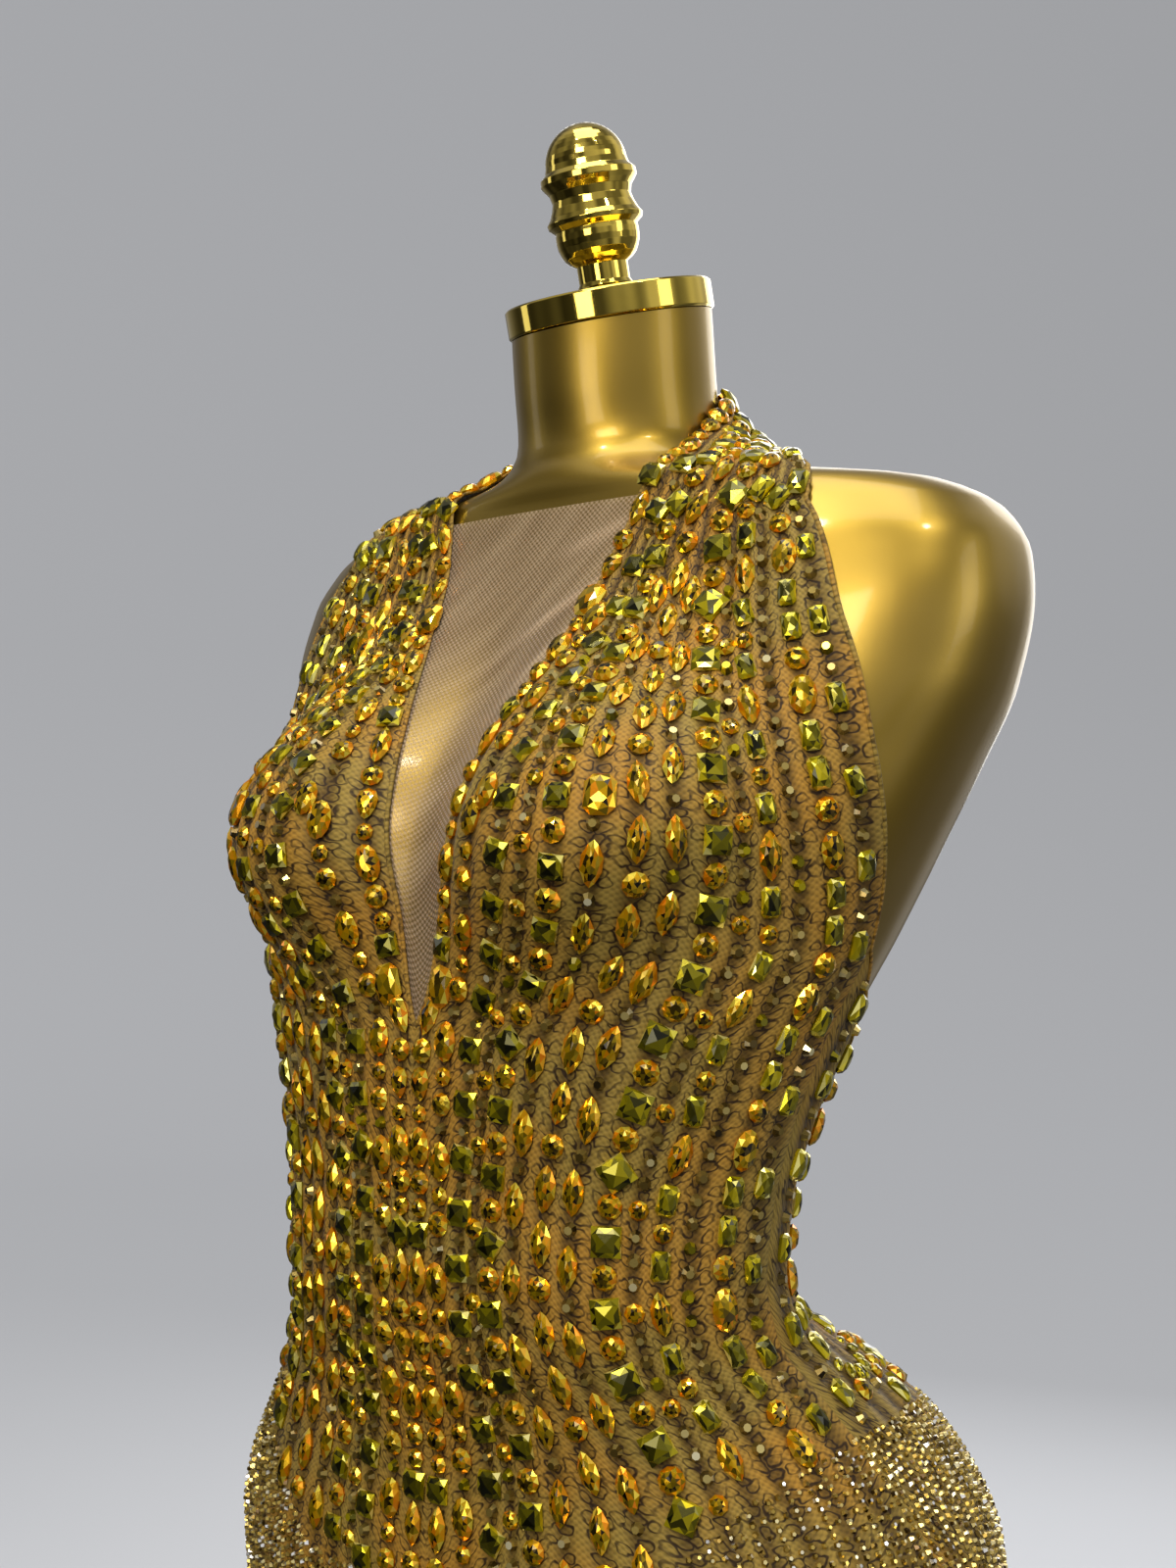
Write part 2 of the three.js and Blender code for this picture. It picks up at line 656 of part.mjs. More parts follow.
// Hook clasp that joins the two strap ends at the nape.
const clasp = addPiece(jumpsuit, "nape_clasp", new THREE.BoxGeometry(16, 2.4, 26), "brass");
clasp.position.set(0, 87.9, 1443.6);
clasp.rotation.x = Math.atan2(86 - 77, 1460 - 1424);

addPiece(jumpsuit, "form_torso", formTorso(), "torso");

const neckTop = new THREE.Group();
neckTop.position.set(0, torso.centre(NECK_TOP), NECK_TOP);
neckTop.rotation.x = CAP_TILT;
jumpsuit.add(neckTop);

// Lathe shapes are turned about Y, so they are stood up on Z.
function standing(mesh, x, y, z) {
  mesh.rotation.x = Math.PI / 2;
  mesh.position.set(x, y, z);
  return mesh;
}

standing(addPiece(neckTop, "neck_cap", turned(disc(CAP_RADIUS, CAP_THICK, 1), 40), "brass"), 0, 0, TOUCH_GAP);
standing(
  addPiece(neckTop, "finial", turned(finialProfile(), 20), "brass"),
  0,
  0,
  CAP_THICK + 2 * TOUCH_GAP,
);

const flangeBottom = FORM_FLOOR - TOUCH_GAP - FLANGE_THICK;
const poleLength = flangeBottom - BASE_THICK - 2 * TOUCH_GAP;
standing(
  addPiece(jumpsuit, "pole_flange", turned(disc(FLANGE_RADIUS, FLANGE_THICK, 1), 24), "steel"),
  POLE_X,
  0,
  flangeBottom,
);
standing(
  addPiece(jumpsuit, "pole", turned(disc(POLE_RADIUS, poleLength, 0.5), 20), "steel"),
  POLE_X,
  0,
  BASE_THICK + TOUCH_GAP,
);
standing(addPiece(jumpsuit, "base_plate", turned(disc(BASE_RADIUS, BASE_THICK, 2), 48), "steel"), 0, 0, 0);

export default jumpsuit;
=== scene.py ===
# %% [markdown]
# # A stage jumpsuit covered with sew-on stones
#
# A halter-neck jumpsuit of gold power mesh hangs on a limbless gold dress form. Hundreds of
# foil-backed glass stones are sewn to it in columns. The CAD model gives the solids and their
# places. This script dresses them: thin cloth, real stones, paint and gold plating.

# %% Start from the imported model
import math

import bpy
import numpy as np
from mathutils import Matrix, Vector


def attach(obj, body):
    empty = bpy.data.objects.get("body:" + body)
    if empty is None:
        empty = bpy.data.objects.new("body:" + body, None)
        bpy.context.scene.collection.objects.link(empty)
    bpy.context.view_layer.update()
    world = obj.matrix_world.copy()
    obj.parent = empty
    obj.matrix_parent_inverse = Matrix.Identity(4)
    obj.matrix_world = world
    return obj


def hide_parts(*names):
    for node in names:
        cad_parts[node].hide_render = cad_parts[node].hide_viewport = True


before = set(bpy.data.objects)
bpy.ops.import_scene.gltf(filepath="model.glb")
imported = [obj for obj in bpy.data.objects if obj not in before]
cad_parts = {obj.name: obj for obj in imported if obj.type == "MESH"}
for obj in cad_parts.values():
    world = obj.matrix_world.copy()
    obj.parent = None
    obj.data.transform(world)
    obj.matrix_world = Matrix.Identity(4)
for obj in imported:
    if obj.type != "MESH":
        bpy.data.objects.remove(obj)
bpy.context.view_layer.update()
rng = np.random.default_rng(26)
print("CAD nodes:", sorted(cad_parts))

# %% [markdown]
# ## Curves through small tables
#
# A dress form is set out as a tailor would: girths and depths at named heights. Straight lines
# between the heights would leave ridges, and a plain spline can bulge past a value, so each
# column of a table becomes a smooth curve that never overshoots its rows.


# %% A smooth curve through a table's column
def curve_through(keys, values):
    order = np.argsort(keys)
    x = np.asarray(keys, float)[order]
    y = np.asarray(values, float)[order]
    step = np.diff(x)
    slope = np.diff(y) / step
    tangent = np.zeros(len(x))
    tangent[0] = slope[0]
    tangent[-1] = slope[-1]
    for i in range(1, len(x) - 1):
        if slope[i - 1] * slope[i] > 0:
            before = 2 * step[i] + step[i - 1]
            after = step[i] + 2 * step[i - 1]
            tangent[i] = (before + after) / (before / slope[i - 1] + after / slope[i])

    def at(place):
        p = np.clip(np.asarray(place, float), x[0], x[-1])
        i = np.clip(np.searchsorted(x, p, side="right") - 1, 0, len(x) - 2)
        t = (p - x[i]) / step[i]
        return (
            y[i] * (2 * t**3 - 3 * t**2 + 1)
            + y[i + 1] * (3 * t**2 - 2 * t**3)
            + step[i] * (tangent[i] * (t**3 - 2 * t**2 + t) + tangent[i + 1] * (t**3 - t**2))
        )

    return at


def curves_of(rows):
    columns = np.asarray(rows, float).T
    return [curve_through(columns[0], column) for column in columns[1:]]


def eased(share):
    """A share between 0 and 1 that starts and stops gently."""
    share = np.clip(share, 0, 1)
    return share * share * (3 - 2 * share)


def run_along(line):
    """Length from the start of a line of points to each of its points."""
    return np.r_[0, np.linalg.norm(np.diff(line, axis=0), axis=1).cumsum()]


# %% [markdown]
# ## The torso and the legs as sections
#
# Each row of the torso table is one level cut: half width, depth in front, depth behind,
# squareness of the superellipse and how far back its centre lies. All lengths are millimetres
# above the floor, with the wearer's front towards -Y, and every mesh is scaled to metres.

# %% Levels of the form and the jumpsuit
NECK_TOP = 1490
CHEST_TOP = 1376
SIDE_TOP = 1184
PLUNGE_END = 1148
WAIST = 1045
# The thigh starts to part from the hip at the first height, and the fork opens at the second.
BLEND_TOP = 920
FORK_TOP = 860
CROTCH = 800
HEM = 42
print("inside leg, mm:", CROTCH - HEM)

# %% Sections of the torso
TORSO_ROWS = [
    # z, half width, front, back, squareness, centre
    (1490, 50, 50, 50, 2.0, 19),
    (1450, 50, 51, 52, 2.0, 23),
    (1428, 52, 52, 56, 2.0, 27),
    (1416, 60, 56, 61, 2.0, 29),
    (1409, 73, 62, 67, 2.0, 31),
    (1404, 98, 67, 73, 2.1, 34),
    (1399, 134, 71, 78, 2.2, 37),
    (1391, 176, 74, 82, 2.3, 40),
    (1378, 197, 78, 86, 2.4, 41),
    (1360, 207, 82, 89, 2.5, 39),
    (1335, 210, 86, 92, 2.5, 34),
    (1300, 205, 90, 94, 2.5, 27),
    (1265, 192, 94, 95, 2.5, 17),
    (1230, 178, 97, 94, 2.5, 6),
    (1190, 163, 98, 89, 2.5, -8),
    (1150, 148, 94, 81, 2.4, -22),
    (1110, 137, 85, 73, 2.2, -34),
    (1075, 131, 77, 69, 2.1, -41),
    (1045, 129, 76, 69, 2.1, -43),
    (1020, 131, 79, 82, 2.1, -38),
    (990, 146, 88, 110, 2.15, -22),
    (955, 170, 98, 132, 2.2, -9),
    (920, 190, 105, 141, 2.2, -4),
    (895, 195, 107, 142, 2.2, -3),
    (860, 195, 105, 138, 2.2, -2),
    (800, 190, 98, 124, 2.2, 0),
]
MOUNDS = [
    # angle, z, stands out, spread sideways, spread up, spread down
    (32, 1243, 56, 19, 50, 45),
    (134, 968, 14, 24, 28, 70),
]
width_at, front_at, back_at, square_at, centre_at = curves_of(TORSO_ROWS)
print("waist across, mm:", 2 * float(width_at(WAIST)))

# %% Sections of the left leg, and the folds of its cloth
LEG_ROWS = [
    # z, centre x, centre y, half width, front, back
    (800, 95, 4, 94.5, 97, 109),
    (788, 97, 4, 91, 96.4, 108.2),
    (760, 98, 4, 86, 91, 98),
    (700, 95.5, 3, 76.5, 82, 87),
    (620, 91, 2, 67.5, 74, 77),
    (540, 87.5, 1, 61, 66, 68),
    (460, 85, 0, 55, 60, 61),
    (400, 84, 0, 52, 55, 56),
    (320, 83, 0, 49, 51, 52),
    (240, 82, 0, 46, 47, 48),
    (160, 82, 0, 44, 45, 45),
    (42, 82, 0, 43, 44, 44),
]
LEG_FOLDS = [
    # stands out, z of the middle, spread up and down, waves round the leg, slant
    (2.4, 455, 85, 3, 15),
    (2.0, 105, 50, 2, 8),
    (1.6, 735, 40, 2, -11),
]
leg_x, leg_y, leg_width, leg_front, leg_back = curves_of(LEG_ROWS)
print("hem across, mm:", 2 * float(leg_width(HEM)))

# %% Edges of the panels
PLUNGE_EDGE = [
    # z, half the plunge's angle
    (1401, 45),
    (1388, 38.5),
    (1376, 36),
    (1359, 32),
    (1335, 27.5),
    (1318, 23),
    (1300, 18.5),
    (1273, 13),
    (1246, 10),
    (1220, 8.5),
    (1200, 7),
    (1175, 5),
    (1160, 3),
    (1148, 0),
]
SHOULDER_EDGE = [
    # z, angle where the front panel stops
    (1376, 66),
    (1352, 67),
    (1330, 68),
    (1306, 70),
    (1284, 72),
    (1256, 76),
    (1230, 81),
    (1206, 86),
    (1184, 90),
]
BACK_EDGE = [
    # angle, z of the open back's edge
    (90, 1184),
    (101, 1150),
    (115, 1112),
    (132, 1074),
    (150, 1044),
    (165, 1030),
    (180, 1026),
]
STRAP_ROWS = [
    # edge beside the neck, outer edge, from the nape to the chest
    ((0.8, 77, 1460), (0.8, 86, 1424)),
    ((27, 71, 1457), (32, 82, 1423)),
    ((44, 51, 1449), (58, 70, 1420)),
    ((52, 32, 1436), (82, 50, 1413)),
    ((57, 12, 1422), (104, 24, 1407)),
    ((61, -8, 1409), (121, 2, 1400)),
    ((62, -25, 1401), (134, -11, 1392)),
]
(plunge_angle,) = curves_of(PLUNGE_EDGE)
(shoulder_angle,) = curves_of(SHOULDER_EDGE)
(back_edge_height,) = curves_of(BACK_EDGE)
print("back open down to, mm above the floor:", BACK_EDGE[-1][1])


# %% Points on the body
def torso_radius(angle, z):
    turn = np.radians(angle)
    depth = np.where(np.cos(turn) >= 0, front_at(z), back_at(z))
    n = square_at(z)
    across = np.abs(np.sin(turn)) / width_at(z)
    along = np.abs(np.cos(turn)) / depth
    radius = (across**n + along**n) ** (-1 / n)
    for mound_angle, mound_z, out, side, up, down in MOUNDS:
        rise = (z - mound_z) / np.where(z > mound_z, up, down)
        for middle in (mound_angle, -mound_angle):
            off = (np.asarray(angle) - middle + 180) % 360 - 180
            radius = radius + out * np.exp(-0.5 * ((off / side) ** 2 + rise**2) ** 1.2)
    return radius


def torso_point(angle, z):
    angle, z = np.broadcast_arrays(np.asarray(angle, float), np.asarray(z, float))
    radius = torso_radius(angle, z)
    turn = np.radians(angle)
    return np.stack([radius * np.sin(turn), centre_at(z) - radius * np.cos(turn), z], -1)


def leg_point(angle, z):
    turn = np.radians(angle)
    depth = np.where(np.cos(turn) >= 0, leg_front(z), leg_back(z))
    # The legs hang empty: long shallow folds all the way down, and slanting ones at the knee, at
    # the ankle and under the seat.
    folds = 2.6 * np.cos(4 * turn + 0.7) + 1.7 * np.cos(9 * turn + z / 70) * np.clip((660 - z) / 300, 0, 1)
    for height, middle, spread, waves, slant in LEG_FOLDS:
        folds = folds + height * np.exp(-(((z - middle) / spread) ** 2)) * np.cos(waves * turn + z / slant)
    swell = 1 + eased((780 - z) / 180) * folds / leg_width(z)
    x = leg_x(z) + leg_width(z) * swell * np.sin(turn)
    y = leg_y(z) - depth * swell * np.cos(turn)
    return np.stack(np.broadcast_arrays(x, y, z), -1)


def half_body(u, z, is_front):
    """Left half of the body at a height, from the centre line (u = 0) to the side (u = 1)."""
    u, z = np.broadcast_arrays(np.asarray(u, float), np.asarray(z, float))
    torso_angle = 90 * u if is_front else 180 - 90 * u
    leg_angle = 180 * u - 90 if is_front else 270 - 180 * u
    # The fork itself is a round saddle. Further out the thigh runs slowly into the hip.
    t = np.clip((z - CROTCH) / (FORK_TOP - CROTCH), 0, 1)
    saddle = np.sqrt(1 - (1 - t) ** 2)
    slow = eased((z - CROTCH) / (BLEND_TOP - CROTCH))
    openness = (saddle + (slow - saddle) * eased(u / 0.45))[..., None]
    on_torso = torso_point(torso_angle, np.maximum(z, CROTCH))
    on_torso[..., 2] = z
    return on_torso * openness + leg_point(leg_angle, z) * (1 - openness)


print("waist round:", round(float(run_along(torso_point(np.arange(361), WAIST))[-1])))

# %% [markdown]
# ## Small helpers
#
# Materials are colours that a designer would pick in sRGB, so one function turns a hex
# value to the linear numbers that the renderer wants. One more adds a shader node with its
# settings and links, and one turns arrays of points and faces into a piece of the object.


# %% Colour, node and mesh helpers
def linear(hex_colour):
    parts = [int(hex_colour[i : i + 2], 16) / 255 for i in (1, 3, 5)]
    return [c / 12.92 if c <= 0.04045 else ((c + 0.055) / 1.055) ** 2.4 for c in parts] + [1.0]


def add_node(tree, kind, settings=None, inputs=None, stops=()):
    """Add one node. Inputs are numbers, colours or sockets to link, and stops belong to a colour ramp."""
    node = tree.nodes.new(kind)
    for name, value in (settings or {}).items():
        setattr(node, name, value)
    for name, value in (inputs or {}).items():
        socket = node.inputs[name]
        if isinstance(value, bpy.types.NodeSocket):
            tree.links.new(value, socket)
        else:
            socket.default_value = value
    for i, (place, colour) in enumerate(stops):
        element = node.color_ramp.elements[i] if i < 2 else node.color_ramp.elements.new(place)
        element.position = place
        element.color = linear(colour)
    return node


def new_material(name, **surface):
    material = bpy.data.materials.new(name)
    material.use_nodes = True
    shader = material.node_tree.nodes["Principled BSDF"]
    for key, value in surface.items():
        shader.inputs[key.replace("_", " ")].default_value = value
    return material, material.node_tree, shader


def new_piece(name, points, faces, material, uv=None, values=None, smooth=True):
    """A mesh of the object. Points are millimetres, values are named numbers for each face."""
    mesh = bpy.data.meshes.new(name)
    mesh.from_pydata((np.asarray(points) / 1000).tolist(), [], np.asarray(faces).tolist())
    mesh.polygons.foreach_set("use_smooth", [smooth] * len(mesh.polygons))
    if uv is not None:
        layer = mesh.uv_layers.new(name="cloth")
        corner = np.empty(len(mesh.loops), int)
        mesh.loops.foreach_get("vertex_index", corner)
        layer.data.foreach_set("uv", np.asarray(uv, float)[corner].ravel())
    for label, numbers in (values or {}).items():
        attribute = mesh.attributes.new(label, "FLOAT", "FACE")
        attribute.data.foreach_set("value", np.asarray(numbers, float))
    mesh.materials.append(material)
    piece = bpy.data.objects.new(name, mesh)
    bpy.context.scene.collection.objects.link(piece)
    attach(piece, "root")
    return piece


def grid_faces(rows, columns, closed=False):
    """Quads of a grid of points numbered row by row, joined round the end where it is closed."""
    i = np.arange(rows - 1)[:, None]
    j = np.arange(columns if closed else columns - 1)[None, :]
    k = (j + 1) % columns
    quads = np.stack([i * columns + j, (i + 1) * columns + j, (i + 1) * columns + k, i * columns + k], -1)
    return quads.reshape(-1, 4)


# %% [markdown]
# ## Gold paint, gold plating
#
# The form is moulded glass fibre, sprayed with a metallic gold and a satin lacquer. The eye sees
# a deep gold that goes brown where it turns away, with soft wide highlights and no sharp
# reflections. The cap and the finial are turned metal with bright gold plating: almost a mirror.

# %% Satin gold paint
gold_paint, tree, shader = new_material(
    "satin_gold_paint_on_glass_fibre",
    Metallic=1.0,
    Roughness=0.38,
    Coat_Weight=0.3,
    Coat_Roughness=0.1,
)
place = add_node(tree, "ShaderNodeTexCoord").outputs["Object"]
# Metal flakes are far finer than this, and 0.6 mm is the finest grain that shows.
flakes = add_node(tree, "ShaderNodeTexNoise", inputs={"Vector": place, "Scale": 1600.0, "Detail": 1.0})
# Slow changes of the sprayed coat, about 90 mm across.
clouds = add_node(tree, "ShaderNodeTexNoise", inputs={"Vector": place, "Scale": 11.0, "Detail": 2.0})
tint = add_node(
    tree,
    "ShaderNodeValToRGB",
    inputs={"Fac": clouds.outputs["Fac"]},
    stops=[(0.3, "#957a2c"), (0.7, "#a2873a")],
)
tree.links.new(tint.outputs["Color"], shader.inputs["Base Color"])
relief = add_node(
    tree,
    "ShaderNodeBump",
    inputs={"Height": flakes.outputs["Fac"], "Strength": 0.12, "Distance": 0.0002},
)
tree.links.new(relief.outputs["Normal"], shader.inputs["Normal"])
print(gold_paint.name, "nodes:", len(tree.nodes))

# %% Bright gold plating
bright_plating, tree, shader = new_material(
    "bright_gold_plating",
    Base_Color=linear("#d6ba52"),
    Metallic=1.0,
    Roughness=0.07,
)
place = add_node(tree, "ShaderNodeTexCoord").outputs["Object"]
# Faint ripples left by turning and polishing, about 8 mm apart.
ripples = add_node(tree, "ShaderNodeTexNoise", inputs={"Vector": place, "Scale": 120.0, "Detail": 1.0})
relief = add_node(
    tree,
    "ShaderNodeBump",
    inputs={"Height": ripples.outputs["Fac"], "Strength": 0.05, "Distance": 0.0005},
)
tree.links.new(relief.outputs["Normal"], shader.inputs["Normal"])
print(bright_plating.name, "nodes:", len(tree.nodes))

# %% Satin gold plating for the stand
satin_plating, tree, shader = new_material(
    "satin_gold_plating",
    Base_Color=linear("#c2a658"),
    Metallic=1.0,
)
place = add_node(tree, "ShaderNodeTexCoord").outputs["Object"]
# Brushing leaves finer scratches than this. They show as duller and brighter specks, 1 mm apart.
brushing = add_node(tree, "ShaderNodeTexNoise", inputs={"Vector": place, "Scale": 900.0, "Detail": 2.0})
scratches = add_node(
    tree,
    "ShaderNodeMapRange",
    inputs={"Value": brushing.outputs["Fac"], "To Min": 0.18, "To Max": 0.34},
)
tree.links.new(scratches.outputs["Result"], shader.inputs["Roughness"])
print(satin_plating.name, "nodes:", len(tree.nodes))

# %% [markdown]
# ## The torso of the form
#
# A moulded shell has no corners, so the piece is a fine net of points on the sections, closed
# under the fork by a flat floor where the pole's flange is screwed on. The neck's top is cut
# aslant, square to the cap.

# %% The moulded torso
CAP_TILT = math.radians(15)
LEAN_START = 1430
FORM_EDGE = 834
FORM_FLOOR = 822
FORM_BOTTOM = [
    # z, share of the section's size
    (831, 0.97),
    (828, 0.93),
    (825, 0.87),
    (823, 0.8),
    (FORM_FLOOR, 0.74),
    (FORM_FLOOR, 0.4),
    (FORM_FLOOR, 0.0),
]
QUARTER = np.linspace(0, 1, 33)


def form_ring(z, size=1.0):
    front = half_body(QUARTER, float(z), True)
    back = half_body(QUARTER, float(z), False)[::-1][1:]
    left = np.concatenate([front, back])
    right = left[1:-1][::-1] * [-1, 1, 1]
    return np.concatenate([left, right]) * [size, size, 1]


# The levels lie closest where the neck runs out into the shoulders.
form_levels = [*np.arange(NECK_TOP, 1424, -6), *np.arange(1424, 1380, -2.5)]
form_levels += [*np.arange(1380, FORM_EDGE, -5), FORM_EDGE]
form_rings = []
for z in form_levels:
    ring = form_ring(z)
    lean = eased((z - LEAN_START) / (NECK_TOP - LEAN_START)) * math.tan(CAP_TILT)
    ring[:, 2] = z + (ring[:, 1] - centre_at(z)) * lean
    form_rings.append(ring)
for z, size in FORM_BOTTOM:
    ring = form_ring(FORM_EDGE, size)
    ring[:, 2] = z
    form_rings.append(ring)
form_rings = np.array(form_rings)
form_faces = grid_faces(len(form_rings), form_rings.shape[1], closed=True)
form_torso = new_piece("moulded_torso", form_rings.reshape(-1, 3), form_faces, gold_paint)
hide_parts("form_torso")
print("torso faces:", len(form_faces))

# %% [markdown]
# ## Cap, finial and stand
#
# These are turned on a lathe, so each is a profile of radius and height swept round its axis.
# Points are doubled close to each edge, which keeps the edge crisp with smooth shading.


# %% Turned parts
def turned(name, profile, material, node, origin, tilt=0.0, steps=96):
    """Sweep a profile of radius and height round its axis, and lean the axis back by the tilt."""
    sharp = []
    for (r0, h0), (r1, h1) in zip(profile, profile[1:]):
        start = np.array([r0, h0], float)
        step = np.array([r1, h1], float) - start
        margin = min(0.3 / max(np.linalg.norm(step), 1e-6), 0.25)
        for t in (0.0, margin, 1 - margin):
            sharp.append(start + step * t)
    sharp.append(np.array(profile[-1], float))
    turn = np.linspace(0, 2 * math.pi, steps, endpoint=False)
    rings = np.array([[(r * math.cos(a), r * math.sin(a), h) for a in turn] for r, h in sharp])
    points = rings.reshape(-1, 3)
    cos, sin = math.cos(tilt), math.sin(tilt)
    y = points[:, 1] * cos - points[:, 2] * sin
    z = points[:, 1] * sin + points[:, 2] * cos
    points = np.stack([points[:, 0], y, z], -1) + origin
    faces = grid_faces(len(sharp), steps, closed=True)[:, ::-1]
    piece = new_piece(name, points, faces, material)
    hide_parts(node)
    print(name, "faces:", len(faces))


TOUCH_GAP = 0.3
CAP_THICK = 14.5
FINIAL_PROFILE = [
    (0, 0), (16.5, 0), (16.5, 2), (14, 5), (12.8, 7), (12.8, 15.5), (16, 17.5), (18, 19.5), (19.3, 22),
    (20.4, 25), (20.8, 28), (20.8, 31), (20.5, 33), (23.5, 35.5), (24, 37.5), (22.3, 40), (20.6, 44),
    (19.7, 47.5), (20.6, 51.5), (22.6, 54), (24, 56), (23.8, 59), (21.2, 61.5),
]
dome = [(20.4 * math.cos(a), 63.5 + 20.4 * math.sin(a)) for a in np.radians(np.linspace(3, 90, 14))]
cap_profile = [(0, 0), (51, 0), (52, 1), (52, 13.5), (51, 14.5), (48.5, 14.5), (48, 14.1), (0, 14.1)]
cap_origin = np.array([0, float(centre_at(NECK_TOP)), NECK_TOP])
cap_axis = np.array([0, -math.sin(CAP_TILT), math.cos(CAP_TILT)])
cap_foot = cap_origin + cap_axis * TOUCH_GAP
finial_foot = cap_origin + cap_axis * (CAP_THICK + TOUCH_GAP)
turned("turned_neck_cap", cap_profile, bright_plating, "neck_cap", cap_foot, CAP_TILT)
turned("turned_finial", FINIAL_PROFILE + dome, bright_plating, "finial", finial_foot, CAP_TILT)

POLE_X = -82
FLANGE_THICK = 8
FLANGE_BOTTOM = FORM_FLOOR - TOUCH_GAP - FLANGE_THICK
flange_profile = [(0, 0), (16, 0), (17, 1), (34, 3), (36, 4), (36, 7), (35, FLANGE_THICK), (0, FLANGE_THICK)]
pole_profile = [(0, 0), (12, 0), (12.5, 0.5), (12.5, 802.6), (12, 803.1), (0, 803.1)]
base_profile = [(0, 0), (168, 0), (170, 2), (170, 6.5), (168.5, 9), (165, 10), (30, 10), (0, 10)]
turned("pole_flange_ring", flange_profile, satin_plating, "pole_flange", [POLE_X, 0, FLANGE_BOTTOM])
turned("stand_tube", pole_profile, satin_plating, "pole", [POLE_X, 0, 10 + TOUCH_GAP], steps=48)
turned("round_base", base_profile, satin_plating, "base_plate", [0, 0, 0], steps=144)

# %% [markdown]
# ## The four panels as nets of points
#
# A front panel is one long piece of cloth: it starts at the nape, runs over the shoulder as the
# halter strap, widens over the bust, and goes down the leg to the hem. A net of rows and columns
# follows it. The columns matter most, because the stones are sewn along them. The sewing eases
# the cloth, so it rises in a soft ridge between each two columns of stones.

# %% Where the columns of stones run
COLUMNS = 56
# Each column of the net is divided again, so that the ridges come out round.
FINE = 2
# Column of the net under each column of stones, from the front edge to the side seam.
STONE_COLUMNS = [2.5, 7.5, 12.6, 15.6, 18.9, 22.9, 27.4, 31.3, 36, 39.3, 42.2, 45.3, 49.2, 53]
# Each stripe of the print is this wide in the cloth's own measure.
STRIPE = 12.0
net_columns = np.arange(COLUMNS * FINE + 1) / FINE
net_share = net_columns / COLUMNS
band_places = (np.arange(len(STONE_COLUMNS)) + 0.5) * STRIPE
cloth_width = len(STONE_COLUMNS) * STRIPE
across_cloth = np.interp(net_columns, [0, *STONE_COLUMNS, COLUMNS], [0, *band_places, cloth_width])
print("columns of stones on a panel:", len(STONE_COLUMNS))

# %% Nets of the left panels
CLOTH_LIFT = 2.4
RIDGE_HEIGHT = 1.2
NET_ROWS = {"strap": 57, "chest": 130, "back": 81, "fork": 19, "leg": 96}


def spline(points, t):
    """Point on a smooth line through the points, with t from 0 to 1."""
    points = np.asarray(points, float)
    place = np.clip(np.asarray(t, float), 0, 1) * (len(points) - 1)
    i = np.minimum(place.astype(int), len(points) - 2)
    f = (place - i)[..., None]
    first = points[np.maximum(i - 1, 0)]
    last = points[np.minimum(i + 2, len(points) - 1)]
    a, b = points[i], points[i + 1]
    bend = 2 * first - 5 * a + 4 * b - last
    twist = 3 * a - first - 3 * b + last
    return 0.5 * (2 * a + (b - first) * f + bend * f**2 + twist * f**3)


def rest_on_shoulder(points):
    """The points, each lifted by small steps until it is outside the form."""
    lifted = points.copy()
    for _ in range(80):
        dy = centre_at(lifted[..., 2]) - lifted[..., 1]
        angle = np.degrees(np.arctan2(lifted[..., 0], dy))
        inside = np.hypot(lifted[..., 0], dy) < torso_radius(angle, lifted[..., 2])
        lifted[..., 2] += 0.4 * inside
    return lifted


def front_net():
    rows = []
    chest = torso_point([plunge_angle(CHEST_TOP), shoulder_angle(CHEST_TOP)], CHEST_TOP)
    neck_edge = [row[0] for row in STRAP_ROWS] + [chest[0]]
    outer_edge = [row[1] for row in STRAP_ROWS] + [chest[1]]
    for t in np.linspace(0, 1, NET_ROWS["strap"])[:-1]:
        neck, outer = spline(neck_edge, t), spline(outer_edge, t)
        rows.append(rest_on_shoulder(neck + (outer - neck) * net_share[:, None]))
    for z in np.linspace(CHEST_TOP, FORK_TOP, NET_ROWS["chest"])[:-1]:
        start, end = plunge_angle(z), shoulder_angle(z) if z > SIDE_TOP else 90.0
        row = torso_point(start + (end - start) * net_share, z)
        rows.append(row if z > BLEND_TOP else half_body(net_share, z, True))
    return np.array(rows + lower_rows(True))


def lower_rows(is_front):
    """Rows of the fork, closest together at its top, and of the leg."""
    rises = 1 - np.sqrt(1 - np.linspace(1, 0, NET_ROWS["fork"]) ** 2)
    levels = [*(CROTCH + (FORK_TOP - CROTCH) * rises), *np.linspace(CROTCH, HEM, NET_ROWS["leg"])[1:]]
    return [half_body(net_share, z, is_front) for z in levels]


def back_net():
    top = back_edge_height(180 - 90 * net_share)
    rows = []
    for t in np.linspace(0, 1, NET_ROWS["back"])[:-1]:
        rows.append(half_body(net_share, top + (FORK_TOP - top) * t, False))
    return np.array(rows + lower_rows(False))


def net_normals(net, outwards):
    down = np.gradient(net, axis=0)
    across = np.gradient(net, axis=1)
    normal = np.cross(down, across) * outwards
    length = np.linalg.norm(normal, axis=-1, keepdims=True)
    return normal / np.maximum(length, 1e-9)


def ridge_rise(z):
    """How far the cloth rises between the columns of stones. It lies flat at the panel's edges."""
    wave = 0.5 + 0.5 * np.cos(2 * math.pi * across_cloth / STRIPE)
    off_edge = np.clip(np.minimum(net_columns, COLUMNS - net_columns) / 2, 0, 1)
    return RIDGE_HEIGHT * wave * off_edge * np.interp(z, [860, 1000, 1340, 1400], [0.3, 1.0, 1.0, 0.5])


